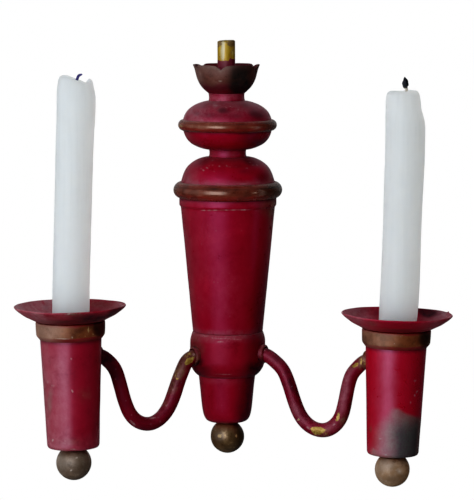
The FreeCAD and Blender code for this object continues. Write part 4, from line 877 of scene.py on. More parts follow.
# --------------------------------------------------------------------- the arms
ARM_FWD = math.radians(27.0)
ARM_DIR = {"left": np.array([-math.cos(ARM_FWD), -math.sin(ARM_FWD), 0.0]), "right": np.array([math.cos(ARM_FWD), -math.sin(ARM_FWD), 0.0])}
ARM_ROUTE = {
    "left": ([(12.6, -60.1), (26.9, -60.1), (54.7, -124.5), (74.35, -63.1), (83.3, -54.9), (87.0, -54.9)], [7.0, 15.0, 14.0, 5.0]),
    "right": ([(12.6, -59.0), (24.0, -59.0), (35.4, -67.3), (60.5, -142.3), (76.3, -67.5), (84.5, -59.2), (87.6, -59.2)], [10.0, 12.0, 14.6, 12.0, 4.0]),
}


# hand bent: (millimetres along the rod, how far its centre lies to the left of the former's line)
ARM_DRIFT = {
    "left": [(0, 0), (20, 0), (24, 0.23), (28, 0.27), (34, -0.07), (40, -0.10), (44, 0.30), (48, 0.55), (52, 0.38), (56, 0.12), (60, -0.08), (64, 0.11), (70, 0.40), (76, 0.57), (80, 0.37), (85, 0.12), (90, 0.28), (98, 0.43), (104, 0.36), (108, 0.52), (111, 0.42), (115, 0.10), (119, 0)],
    "right": [(0, 0), (18, 0), (22, -0.25), (26, -0.47), (30, -0.34), (34, -0.06), (44, -0.03), (48, 0.22), (52, 0.72), (56, 0.90), (60, 0.76), (64, 0.45), (68, 0.15), (72, -0.03), (76, 0.14), (80, 0.43), (85, 0.60), (90, 0.39), (94, 0.30), (102, 0.50), (108, 0.21), (113, 0.05), (117, 0), (125, 0)],
}


def drifted(line, table, step=0.5):
    """The same line, eased sideways by the table."""
    along = np.concatenate([[0], np.cumsum(np.linalg.norm(np.diff(line, axis=0), axis=1))])
    off = np.interp(along, *np.array(table, float).T)
    w = np.exp(-0.5 * (np.arange(-12, 13) * step / 2.0) ** 2)
    off = np.convolve(np.pad(off, 12), w / w.sum(), "valid")
    t = np.gradient(line, axis=0)
    t /= np.linalg.norm(t, axis=1)[:, None]
    return line + off[:, None] * np.stack([-t[:, 1], t[:, 0]], 1)


def bent_rod(route, radii, step=0.5):
    """Centre line of a rod bent round formers, eased where straight meets bend."""
    p = [np.array(v, float) for v in route]
    out, start = [], p[0]
    for i, rad in enumerate(radii):
        a, b, c = p[i], p[i + 1], p[i + 2]
        u, v = (a - b) / np.linalg.norm(a - b), (c - b) / np.linalg.norm(c - b)
        half = math.acos(float(np.clip(u @ v, -1, 1))) / 2
        cut = rad / math.tan(half)
        s, e = b + u * cut, b + v * cut
        n = max(1, int(np.linalg.norm(s - start) / step))
        out.append(start + (s - start) * np.linspace(0, 1, n, endpoint=False)[:, None])
        mid = (u + v) / np.linalg.norm(u + v)
        cen = b + mid * rad / math.sin(half)
        a0 = math.atan2(*(s - cen)[::-1])
        a1 = math.atan2(*(e - cen)[::-1])
        d = (a1 - a0 + math.pi) % TAU - math.pi
        n = max(3, int(abs(d) * rad / step))
        t = a0 + d * np.linspace(0, 1, n, endpoint=False)
        out.append(cen + rad * np.stack([np.cos(t), np.sin(t)], 1))
        start = e
    n = max(1, int(np.linalg.norm(p[-1] - start) / step))
    out.append(start + (p[-1] - start) * np.linspace(0, 1, n + 1)[:, None])
    line = np.concatenate(out)
    s = np.concatenate([[0], np.cumsum(np.linalg.norm(np.diff(line, axis=0), axis=1))])
    even = np.linspace(0, s[-1], int(s[-1] / step) + 1)
    line = np.stack([np.interp(even, s, line[:, k]) for k in (0, 1)], 1)
    w = np.exp(-0.5 * (np.arange(-9, 10) * step / 2.2) ** 2)
    w /= w.sum()
    pad = np.concatenate([2 * line[0] - line[9:0:-1], line, 2 * line[-1] - line[-2:-11:-1]])
    return np.stack([np.convolve(pad[:, k], w, "valid") for k in (0, 1)], 1)


ARM_MARKS = {
    "left": dict(
        bare=[(188.8, 361.0, 5.4, 3.2, -34, 0.6, 1.0), (177.2, 379.0, 1.6, 1.3, 0, 0.5, 0.80), (185.4, 363.4, 2.4, 1.4, -35, 0.6, 0.70), (188.5, 354.6, 6.5, 2.6, -42, 0.8, 0.52), (181.0, 363.0, 2.0, 4.5, 30, 0.8, 0.44), (176.0, 374.5, 1.6, 4.5, 22, 0.8, 0.46)],
        tint=[(179.5, 369.0, 5.5, 24.0, 22, 0.7, 1.0), (187.0, 357.0, 10.0, 5.6, -38, 0.5, 1.0), (193.5, 354.0, 4.5, 4.0, 0, 0.6, 0.9), (177.5, 374.0, 3.2, 10.0, 20, 0.6, 1.0), (173.5, 386.0, 2.4, 6.0, 15, 0.7, 0.6), (164.5, 403.0, 3.0, 5.0, 25, 0.8, 0.45), (183.0, 367.0, 3.5, 5.0, 25, 0.7, 0.6)],
        scuff_and_highlight=[(173.0, 390.0, 1.5, 1.8, 0, 0.9, 0.33), (166.6, 405.5, 2.4, 1.5, -30, 0.9, 0.33), (174.2, 399.0, 1.2, 1.2, 0, 0.8, 0.36), (160.2, 421.6, 1.4, 2.0, -20, 0.9, 0.30), (152.0, 418.2, 4.5, 0.9, -8, 0.7, 0.45), (132.8, 423.0, 4.2, 1.3, 42, 0.7, 0.55), (131.6, 415.0, 1.2, 0.8, 0, 0.6, 0.4),
               (194.0, 354.5, 2.2, 1.6, 30, 0.7, 0.45), (178.0, 374.5, 1.0, 3.0, 15, 0.7, 0.35), (157.5, 412.0, 2.0, 1.0, -40, 0.7, 0.35)],
        # left arm: the dark patches by the cup are a painted shadow of the cup, the patch under the hub collar is
        # painted shade
        grime_and_shade=[(104.0, 355.0, 12.0, 12.0, 0, 0.5, 0.95), (113.0, 372.0, 7.0, 14.0, -20, 0.7, 0.85), (119.0, 394.0, 5.0, 12.0, -20, 0.8, 0.35), (198.0, 365.5, 3.6, 3.6, -35, 0.6, 0.85)]),
    "right": dict(
        bare=[(317.8, 430.6, 7.2, 3.9, 5, 0.45, 1.0), (326.5, 433.0, 3.0, 1.8, -8, 0.7, 0.50), (338.2, 416.0, 1.5, 4.6, 9, 0.5, 0.85), (336.6, 420.2, 2.0, 1.6, -30, 0.6, 0.75), (298.5, 419.8, 1.2, 1.2, 0, 0.5, 0.7), (355.4, 365.2, 3.8, 1.9, -28, 0.5, 0.85), (361.6, 361.5, 2.0, 3.6, 10, 0.6, 0.6)],
        tint=[(321.0, 435.0, 9.0, 1.8, 2, 0.6, 0.8), (343.8, 420.5, 3.2, 6.0, 28, 0.7, 0.85), (361.5, 361.0, 4.0, 7.0, 10, 0.6, 0.95), (352.5, 367.0, 4.0, 2.5, -30, 0.7, 0.6), (327.0, 431.0, 3.0, 2.5, 0, 0.7, 0.5)],
        scuff_and_highlight=[(338.2, 416.5, 1.5, 4.6, 8, 0.6, 0.52), (333.8, 424.6, 2.0, 1.1, -40, 0.7, 0.5), (298.5, 419.8, 1.2, 1.2, 0, 0.5, 0.8), (283.5, 375.0, 1.2, 2.5, -25, 0.7, 0.35), (291.8, 386.4, 1.0, 0.9, 0, 0.6, 0.45), (264.5, 350.5, 1.2, 0.9, 0, 0.6, 0.4), (308.0, 428.0, 2.5, 1.5, 30, 0.7, 0.4),
               (346.0, 381.0, 1.2, 2.0, 10, 0.7, 0.3), (341.5, 405.0, 1.0, 2.0, 10, 0.7, 0.3), (318.0, 429.0, 3.0, 1.0, 4, 0.7, 0.35)],
        grime_and_shade=[(291.0, 384.0, 2.6, 7.5, -22, 0.6, 0.75), (287.0, 372.0, 2.4, 4.0, -30, 0.7, 0.5), (296.0, 392.0, 2.0, 5.0, -22, 0.7, 0.6), (349.5, 408.0, 2.5, 10.0, 12, 0.7, 0.5), (266.0, 347.0, 5.0, 2.5, 35, 0.7, 0.6), (277.0, 359.0, 6.0, 4.0, 40, 0.8, 0.42)],
        # right arm: the long streak on the upper arm is painted sheen, the rest is dust
        dust_and_sheen=[(345.5, 384.0, 4.5, 26.0, 9, 0.8, 0.75), (295.0, 409.0, 5.0, 10.0, -25, 0.8, 0.45), (303.0, 422.0, 5.0, 5.0, 40, 0.8, 0.35), (331.0, 427.0, 8.0, 5.0, -30, 0.8, 0.55)]),
}


def rod_swell(n, side):
    """The rod is fatter where it was drawn least."""
    t = np.linspace(0, 1, n)
    return np.exp(-((t - (0.27 if side == "left" else 0.62)) / 0.14) ** 2) * sstep(0.06, 0.14, t) * (1 - sstep(0.86, 0.94, t))


for side in ("left", "right"):
    d = ARM_DIR[side]
    line2 = drifted(bent_rod(*ARM_ROUTE[side]), ARM_DRIFT[side])
    path = np.array([0, -34, 0.0]) + line2[:, :1] * d + line2[:, 1:] * np.array([0, 0, 1.0])
    normal = np.cross(d, np.array([0, 0, 1.0]))
    sd = 100 if side == "left" else 140

    def rod_shape(rr, A, S, sd=sd):
        p = np.stack([np.cos(A).ravel() * 4, np.sin(A).ravel() * 4, S.ravel()], 1)
        return rr + (0.07 * (fbm(p, 9.0, sd, 2) - 0.6)).reshape(rr.shape), np.ones(2)

    def bare(V, N, L, table=ARM_MARKS[side]["bare"], sd=sd):
        # rubbed on the back too, where hands hold it
        back = 1 - facing(V, N)
        return np.maximum(marks_at(V, N, table, sd, 0.38), 0.60 * back * sstep(0.48, 0.85, vnoise(V, 9, sd + 50)))

    piece(side + "_arm_rod", sweep(path, 4.0 + 0.22 * rod_swell(len(path), side), normal, 48, rod_shape), RED_ARM, "frame", [side + "_arm"], "red_paint", {
        "bare": bare,
        "tint": lambda V, N, L, t=ARM_MARKS[side]["tint"], sd=sd: np.maximum(marks_at(V, N, t, sd + 20, 0.4), 0.5 * (1 - facing(V, N)) * sstep(0.25, 0.7, vnoise(V, 9, sd + 50))),
        "scuff_and_highlight": lambda V, N, L, t=ARM_MARKS[side]["scuff_and_highlight"], sd=sd: marks_at(V, N, t, sd + 40, 0.35, 1.6),
        "edge": lambda V, N, L, sd=sd: 0.22 * sstep(0.25, 0.6, vnoise(V, 5, sd + 9)),
        "dust_and_sheen": lambda V, N, L, t=ARM_MARKS[side].get("dust_and_sheen", []), sd=sd: np.clip(0.30 * sstep(0.2, 0.95, N[:, 2]) + 0.30 * fbm(V, 7, 133) + marks_at(V, N, t, sd + 80, 0.4, 4.0), 0, 1) * (1 - 0.8 * marks_at(V, N, ARM_MARKS["left"]["tint"], 120, 0.4)), "speck": lambda V, N, L: 0.2,
        "grime_and_shade": lambda V, N, L, t=ARM_MARKS[side]["grime_and_shade"], sd=sd: np.maximum(marks_at(V, N, t, sd + 60, 0.4, 4.0), 0.22 * sstep(0.2, 0.7, vnoise(V, 10, sd + 21)))})

    # collar against the hub; its back follows the drum
    z = ARM_ROUTE[side][0][0][1]
    axes = axes_of(np.array([0, -34, z]) + 21.6 * d, d, np.cross(d, [0, 0, 1.0]))
    ring = outline([([(4.02, -1.2), (5.35, -1.2)], 0.1), ([(5.35, -1.2), (5.4, 0.9)], 0.3), ([(5.4, 0.9), (5.2, 1.75), (4.75, 2.15)], 0.3), ([(4.75, 2.15), (4.02, 1.9)], 0.1), ([(4.02, 1.9), (4.02, -1.2)], 0.05)])

    def seat_ring(R, Z, PH, rad=21.6):
        t = R * np.sin(PH)
        sag = np.sqrt(np.maximum(rad ** 2 - t ** 2, 1)) - rad
        return R, np.where(Z < -1.0, sag - 0.12, Z)

    hub_bare = {"left": 0.25, "right": 0.0}[side]
    # lighter top: painted highlight; darker underneath and against the hub: painted shade
    piece(side + "_hub_collar_ring", lathe(ring, axes, 56, True, seat_ring), RED_ARM, "frame", [side + "_hub_collar"], "red_paint", {
        "bare": lambda V, N, L, a=hub_bare, sd=sd: a * sstep(-0.5, 0.4, vnoise(V, 5, sd + 31)),
        "tint": lambda V, N, L, a=(0.85 if side == "left" else 0.45), sd=sd: a * (0.8 + 0.4 * vnoise(V, 4, sd + 33)),
        "scuff_and_highlight": lambda V, N, L: 0.26 * sstep(0.55, 0.95, N[:, 2]),
        "edge": lambda V, N, L: 0.36 * sstep(1.0, 1.9, L[:, 2]), "dust_and_sheen": lambda V, N, L: 0.45 * sstep(0.1, 0.9, N[:, 2]),
        "grime_and_shade": lambda V, N, L: np.clip(0.6 * (1 - sstep(-1.0, 0.4, L[:, 2])) + 0.85 * sstep(0.0, 0.6, -N[:, 2]), 0, 1)})

# --------------------------------------------------------------------- the cups
CUP = {
    "left": dict(rim=(-91.450, -80.596, -26.107), axis=(-0.0194372, -0.0099038, 0.9997620), pivot=(102.0, -55.3), lean=1.25, rim_z=-26.1),
    "right": dict(rim=(92.288, -81.023, -32.209), axis=(0.0239457, -0.0122009, 0.9996388), pivot=(102.9, -57.4), lean=1.54, rim_z=-32.2),
}


def scorch(V, N, L):
    """Blackened by a flame from below; thins out upwards, to the left and round the side."""
    x, y = pix(V)
    wob = fbm(V, 6, 401, 3)
    start = np.interp(y, [408, 418, 426, 434, 456], [392.5, 390.0, 388.0, 386.5, 386.5])
    width = np.interp(y, [408, 418, 426, 434], [20, 20, 17, 15])
    thick = np.interp(y + 2.0 * wob, [409, 414, 418, 422, 426, 430, 436], [0.16, 0.28, 0.38, 0.56, 0.76, 0.90, 0.98])
    side = flank(L, -95, -80, 84, 126, 9 * wob) * (1 - 0.62 * flank(L, 47, 66, 300, 400))
    return side * sstep(0, 1, (x - start + 1.8 * wob) / width) * thick * scorch_top(x, y, wob)


def scorch_top(x, y, wob):
    top = np.interp(x, [380, 394, 396, 399, 403, 405, 408, 412, 416, 420], [404, 408.2, 408.6, 409.6, 412.2, 413.4, 414.8, 415.6, 416.2, 417])
    return sstep(-2.2, 2.8, y - top + 1.5 * wob)


def smoky(V, N, L):
    """Grey film round the scorch, widest at the lower left."""
    x, y = pix(V)
    wob = fbm(V, 7, 421, 3)
    start = np.interp(y, [404, 410, 414, 418, 422, 426, 430, 436, 460], [391, 386, 383, 378.5, 374, 370.5, 368, 367, 366.5])
    width = np.interp(y, [404, 414, 420, 430, 460], [9, 13, 19, 25, 27])
    amount = np.interp(y, [408, 414, 420, 428], [0.58, 0.62, 0.72, 0.88])
    film = sstep(0, 1, (x - start + 1.6 * wob) / width) * scorch_top(x, y, wob) * amount
    foot = 0.6 * sstep(443, 455, y + 2 * wob) * sstep(366, 374, x)
    return flank(L, -95, -80, 92, 134, 9 * wob) * np.maximum(film, foot)


def pan_geo(axes, seed, wave, nick=None, droop=(2.2, 0.0)):
    under = run([(31.45, 0.0), (30.5, -1.1), (29.2, -2.2), (27.7, -3.3), (26.0, -4.5), (23.7, -5.7), (21.3, -6.9), (19.6, -7.7), (18.0, -7.9)])
    top = run([(18.0, -7.1), (19.5, -6.9), (21.1, -6.15), (23.4, -4.95), (25.6, -3.8), (27.25, -2.7), (28.7, -1.6), (30.0, -0.45), (31.1, 0.68)])
    line = outline([(under, 0.1), ([(18.0, -7.9), (12.32, -7.9)], 0.15), ([(12.32, -7.9), (12.32, -7.1)], 0.15), ([(12.32, -7.1), (18.0, -7.1)], 0.1), (top, 0.28), ([(31.1, 0.68), (31.45, 0.0)], 0.28)])

    def warp(R, Z, PH):
        out = sstep(18.5, 31.0, R)
        p = np.stack([np.sin(PH).ravel() * 26, -np.cos(PH).ravel() * 26, np.zeros(R.size)], 1)
        n = fbm(p, 14.0, seed, 2).reshape(R.shape)
        away = (PH - droop[0] + math.pi) % TAU - math.pi
        Z = Z + out ** 2 * (wave * n + 0.18 * np.cos(2 * PH + seed) - droop[1] * np.exp(-(away / 0.9) ** 2))
        R = R - out ** 2 * 0.25 * np.abs(fbm(p, 9.0, seed + 5, 2)).reshape(R.shape)
        if nick is not None:
            az, wid, tall = nick
            dphi = (PH - az + math.pi) % TAU - math.pi
            Z = Z + sstep(28.8, 31.2, R) * tall * np.exp(-(dphi / wid) ** 2)
        return R, Z
    return lathe(line, axes, 240, True, warp)


for side in ("left", "right"):
    c = CUP[side]
    axes = axes_of(c["rim"], c["axis"], (1, 0, 0))
    sd = 200 if side == "left" else 300
    right = side == "right"

    cup_line = outline([([(16.1, -8.4), (17.1, -8.4)], 0.2), ([(17.1, -8.4), (17.1, -16.6)], 0.1), ([(17.1, -16.6), (17.25, -17.3)], 0.1), ([(17.25, -17.3), (14.65, -78.4)], 0.7), ([(14.65, -78.4), (14.0, -79.45)], 0.3), ([(14.0, -79.45), (12.8, -79.75)], 0.3), ([(12.8, -79.75), (3.02, -79.8)], 0.1),
                        ([(3.02, -79.8), (3.02, -78.6)], 0.1), ([(3.02, -78.6), (12.2, -78.6)], 0.3), ([(12.2, -78.6), (13.4, -77.4)], 0.3), ([(13.4, -77.4), (16.1, -19.1)], 0.2), ([(16.1, -19.1), (16.1, -8.4)], 0.2)])
    marks = {
        "edge": lambda V, N, L, sd=sd: 0.36 * np.exp(-((L[:, 2] + 78.9) / 0.9) ** 2) * (L[:, 0] > 12.5),
        # darker just under the band: painted shadow
        "grime_and_shade": lambda V, N, L: 0.6 * sstep(-20.4, -18.4, L[:, 2]),
    }
    if right:
        marks["soot"] = scorch
        marks["smoke"] = smoky
        # right cup: the strip left of centre is painted sheen over dust, the rest is dust
        marks["dust_and_sheen"] = lambda V, N, L: 0.03 + 0.10 * fbm(V, 13, 307) + 0.24 * (1 - sstep(-0.25, 0.10, N[:, 0] + 0.08 * vnoise(V, 10, 306))) * sstep(-0.9, -0.5, N[:, 0]) + 0.30 * (1 - sstep(-79, -68, L[:, 2] + 1.5 * vnoise(V, 6, 308))) + 0.25 * sstep(0.8, 1.0, N[:, 0])
        marks["scuff_and_highlight"] = lambda V, N, L: marks_at(V, N, [(415.2, 380.6, 2.0, 1.6, 0, 0.8, 0.42), (416.9, 391.6, 1.0, 2.4, 35, 0.7, 0.52), (414.6, 395.8, 0.9, 1.6, 15, 0.6, 0.58), (410.6, 402.6, 1.0, 1.5, 10, 0.6, 0.50), (405.4, 354.6, 1.2, 1.0, 0, 0.7, 0.3), (380.2, 439.0, 1.3, 0.8, -20, 0.6, 0.8),
                                                         (373.2, 449.2, 1.6, 0.7, 20, 0.6, 0.7), (386.0, 454.8, 1.8, 1.0, 0, 0.5, 0.95), (404.2, 414.6, 2.6, 0.6, 36, 0.6, 0.55), (400.0, 449.0, 4.0, 0.6, -8, 0.7, 0.25)], 411, 0.3, 1.8)
        marks["tint"] = lambda V, N, L: marks_at(V, N, [(370.5, 429.0, 1.4, 4.0, 5, 0.7, 0.4), (374.5, 451.0, 2.0, 1.0, 0, 0.7, 0.5), (384.0, 450.5, 4.0, 3.0, 0, 0.8, 0.45)], 441)
    else:
        # left cup: the left half is dust and painted sheen, ending where the sheen ends
        marks["dust_and_sheen"] = lambda V, N, L: np.clip(0.02 + (0.50 + 0.16 * fbm(V, 14, 207)) * (1 - 0.45 * sstep(-29, -20.5, L[:, 2])) * (1 - sstep(-0.30, 0.04, N[:, 0] + 0.03 * vnoise(V, 12, 206))) + 0.22 * sstep(0.5, 1.0, -N[:, 0]) * (0.6 + 0.6 * sstep(-55, -22, L[:, 2])) + 0.30 * (1 - sstep(-79, -68, L[:, 2] + 1.5 * vnoise(V, 6, 208))), 0, 1)
        marks["scuff_and_highlight"] = lambda V, N, L: marks_at(V, N, [(72.4, 391.2, 1.1, 1.8, -20, 0.6, 0.7), (71.3, 358.8, 1.0, 1.6, 0, 0.6, 0.55), (52.8, 440.3, 1.6, 1.0, -40, 0.6, 0.75), (52.4, 385.6, 2.6, 1.4, 15, 0.7, 0.4), (48.0, 382.0, 1.4, 2.0, 0, 0.7, 0.4), (56.5, 370.0, 1.0, 2.4, 0, 0.7, 0.25), (65.0, 441.0, 1.0, 0.8, 0, 0.7, 0.4),
                                                         (72.6, 449.3, 4.4, 0.8, 0, 0.6, 0.48), (83.0, 395.5, 3.0, 1.0, 30, 0.7, 0.25), (64.0, 443.5, 5.0, 1.4, 10, 0.8, 0.3)], 211, 0.3, 1.8)
        marks["tint"] = lambda V, N, L: marks_at(V, N, [(49.6, 403.0, 2.4, 14.0, 4, 0.7, 0.7), (45.4, 396.0, 1.6, 20.0, -3, 0.8, 0.25), (84.5, 395.0, 5.0, 6.0, 30, 0.9, 0.30), (49.5, 363.0, 1.8, 2.4, 0, 0.8, 0.22), (70.0, 442.0, 8.0, 3.0, 0, 0.9, 0.38), (46.5, 345.0, 2.4, 5.0, 0, 0.8, 0.25)], 231, 0.5, 4.0)
    piece(side + "_cup_shell", lathe(cup_line, axes, 216, True, dents(sd, 0.10, 15)), RED_CUP_R if right else RED_CUP_L, "frame", [side + "_cup"], "red_paint", marks)

    band_line = outline([([(17.1, -8.2), (19.0, -8.2)], 0.25), ([(19.0, -8.2), (19.5, -8.7)], 0.3), ([(19.5, -8.7), (19.45, -12.0), (19.2, -15.9)], 0.55), ([(19.2, -15.9), (17.5, -18.1)], 0.4), ([(17.5, -18.1), (17.1, -18.1)], 0.1), ([(17.1, -18.1), (17.1, -8.2)], 0.1)])
    # the dark ends of each band and the marks just under the pan are painted shade
    BAND_MARKS = dict(
        left=dict(edge=[(88.4, 329.0, 0.9, 3.8, 0, 0.6, 0.85), (93.2, 334.4, 1.0, 1.0, 0, 0.6, 0.6), (85.5, 336.0, 2.2, 0.8, -30, 0.6, 0.6), (80.0, 337.0, 2.0, 0.7, 0, 0.6, 0.5)],
                  scuff_and_highlight=[(63.0, 338.9, 9.0, 0.6, 2, 0.6, 0.5), (57.0, 326.0, 6.0, 1.4, 0, 0.8, 0.3), (72.0, 337.5, 0.9, 1.2, 0, 0.6, 0.5)],
                  grime_and_shade=[(99.0, 328.0, 6.5, 9.0, 0, 0.4, 0.95), (79.0, 331.0, 5.0, 2.6, -20, 0.7, 0.45), (90.0, 326.0, 4.0, 3.0, 0, 0.7, 0.5)]),
        right=dict(edge=[(402.5, 335.6, 0.8, 1.8, 0, 0.6, 0.5), (414.0, 343.5, 1.5, 2.0, 0, 0.7, 0.45), (386.5, 333.0, 5.0, 0.8, 4, 0.7, 0.35)],
                   scuff_and_highlight=[(384.0, 346.6, 10.0, 0.6, 3, 0.7, 0.3), (394.0, 344.0, 1.4, 0.6, -20, 0.6, 0.5), (400.5, 337.0, 0.7, 0.8, 0, 0.6, 0.5)],
                   grime_and_shade=[(425.0, 340.0, 6.5, 9.0, 0, 0.5, 0.85), (363.5, 340.0, 4.5, 6.0, 0, 0.6, 0.55), (411.0, 342.0, 3.0, 3.0, 0, 0.8, 0.15), (415.0, 338.0, 2.0, 4.0, 0, 0.8, 0.18)]))[side]
    piece(side + "_band_ring", lathe(band_line, axes, 216, True, dents(sd + 11, 0.09, 9)), BRONZE_BAND, "frame", [side + "_band"], "bronze", {
        "tint": lambda V, N, L, sd=sd: np.clip(0.9 * sstep(-9.9, -8.7, L[:, 2] + 0.5 * vnoise(V, 5, sd + 14)) + 1.1 * (1 - sstep(-16.4, -15.5, L[:, 2] + 0.5 * vnoise(V, 6, sd + 13))) + 0.4 * sstep(0.1, 0.7, fbm(V, 8, sd + 15)), 0, 1),
        "edge": lambda V, N, L, t=BAND_MARKS["edge"], sd=sd: np.maximum(marks_at(V, N, t, sd + 71), 0.28 * np.exp(-((L[:, 2] + 8.6) / 0.6) ** 2)), "speck": lambda V, N, L: 0.4,
        "scuff_and_highlight": lambda V, N, L, t=BAND_MARKS["scuff_and_highlight"], sd=sd: marks_at(V, N, t, sd + 75, 0.3),
        # paler on the side towards the light: dust and painted light
        "dust_and_sheen": lambda V, N, L, a=(0.45 if right else 0.95): a * sstep(0.0, 0.7, -N[:, 0]),
        # darker at the top under the pan and on the lower lip: painted shade
        "grime_and_shade": lambda V, N, L, t=BAND_MARKS["grime_and_shade"], sd=sd: np.maximum(marks_at(V, N, t, sd + 79, 0.4, 4.0), np.maximum(0.25 * sstep(0.1, 0.6, vnoise(V, 7, sd + 17)), np.maximum(0.22 * sstep(-9.6, -8.4, L[:, 2]), 0.35 * (1 - sstep(-17.6, -16.6, L[:, 2])))))})

    geo = pan_geo(axes, sd + 23, 0.30, (math.radians(104), 0.030, 0.85) if right else None, (2.45, 0.35) if right else (2.2, 0.60))
    def pan_dust(V, N, L, side=side, sd=sd):
        x = pix(V)[0]
        mott = 0.85 + 0.6 * fbm(V, 9, sd + 27)
        top, rim = sstep(0.2, 0.9, N[:, 2]), sstep(25, 31, L[:, 0])
        if side == "left":
            where = 0.95 * (1 - sstep(40, 75, x)) + 0.30 + 0.45 * sstep(108, 122, x)
        else:
            where = 0.75 * (1 - sstep(354, 386, x)) + 0.05 + 0.85 * sstep(416, 440, x)
        return np.clip((0.60 * top + 0.30 * rim + 0.46) * where * mott, 0, 1)

    PAN_MARKS = dict(
        left=dict(tint=[(72.0, 314.2, 9.0, 1.4, 2, 0.6, 0.9), (101.0, 304.5, 12.0, 3.2, 6, 0.8, 0.5), (80.0, 318.0, 6.0, 3.0, 0, 0.9, 0.4)],
                  scuff_and_highlight=[(69.0, 313.9, 2.4, 0.8, -10, 0.6, 0.55), (77.0, 313.4, 1.6, 0.7, 0, 0.6, 0.4), (121.5, 305.0, 3.0, 1.0, 25, 0.7, 0.45), (92.0, 300.0, 3.0, 0.7, 0, 0.7, 0.35), (38.0, 314.5, 9.0, 0.8, 12, 0.8, 0.3)],
                  # left pan: the dark marks under its rim, under its right tip and beside the candle foot are painted
                  # shade
                  grime_and_shade=[(114.0, 312.6, 11.0, 3.2, -30, 0.6, 0.92), (93.0, 318.5, 17.0, 4.4, -4, 0.7, 0.90), (70.0, 322.5, 26.0, 2.6, 0, 0.7, 0.72), (76.0, 318.0, 7.0, 2.2, 0, 0.8, 0.6), (86.0, 306.0, 3.0, 5.0, 0, 0.8, 0.4), (46.5, 306.0, 3.0, 5.0, 0, 0.8, 0.25)]),
        right=dict(tint=[(443.0, 313.0, 5.0, 1.5, 10, 0.7, 0.5), (372.0, 324.0, 5.0, 2.0, 20, 0.8, 0.4), (357.0, 313.0, 8.0, 2.0, 0, 0.9, 0.3)],
                   scuff_and_highlight=[(444.0, 315.0, 4.0, 1.6, 10, 0.8, 0.3), (436.0, 322.0, 4.0, 1.0, -30, 0.8, 0.3), (350.0, 317.5, 4.0, 0.8, 25, 0.8, 0.25), (395.0, 308.6, 9.0, 0.6, 0, 0.8, 0.25)],
                   # right pan: the line under the front wall and the marks by the candle foot are painted shade
                   grime_and_shade=[(427.0, 312.5, 11.0, 4.2, 10, 0.5, 0.95), (377.0, 312.0, 3.4, 4.5, 0, 0.8, 0.45), (366.0, 310.0, 9.0, 2.0, 0, 0.9, 0.3), (400.0, 331.0, 20.0, 1.8, 2, 0.8, 0.5)]))[side]
    piece(side + "_drip_pan_dish", geo, RED_PAN_R if right else RED_PAN_L, side + "_pan", [side + "_drip_pan"], "red_paint", {
        "dust_and_sheen": pan_dust,
        "tint": lambda V, N, L, t=PAN_MARKS["tint"], sd=sd: marks_at(V, N, t, sd + 81, 0.4),
        "scuff_and_highlight": lambda V, N, L, t=PAN_MARKS["scuff_and_highlight"], sd=sd: marks_at(V, N, t, sd + 85, 0.35),
        "speck": lambda V, N, L: 0.3 * sstep(0.2, 0.9, N[:, 2]) + 0.1,
        "edge": lambda V, N, L, sd=sd: 0.20 * sstep(30.4, 31.2, L[:, 0]) * sstep(-0.1, 0.6, vnoise(V, 6, sd + 29) + 0.1),
        # darker underneath by the socket: painted shade
        "grime_and_shade": lambda V, N, L, t=PAN_MARKS["grime_and_shade"], sd=sd: np.maximum(marks_at(V, N, t, sd + 89, 0.4, 4.0), 0.3 * (1 - sstep(17.5, 20.0, L[:, 0])) * (N[:, 2] < 0) + 0.25 * (1 - sstep(13, 17, L[:, 0])))})

    sock_line = outline([([(0, -30.8), (12.3, -30.8)], 0.3), ([(12.3, -30.8), (12.3, -6.4)], 0.18), ([(12.3, -6.4), (11.7, -6.4)], 0.18), ([(11.7, -6.4), (11.7, -30.0)], 0.3), ([(11.7, -30.0), (0, -30.0)], 0.0)], closed=False)
    piece(side + "_socket_sleeve", lathe(sock_line, axes, 96, False), BRONZE_BAND, side + "_pan", [side + "_candle_socket"], "bronze", {
        "edge": lambda V, N, L: 0.35 * sstep(-7.2, -6.5, L[:, 2]), "tint": lambda V, N, L: 0.55, "dust_and_sheen": lambda V, N, L: 0.3 * sstep(0.3, 0.9, N[:, 2])})

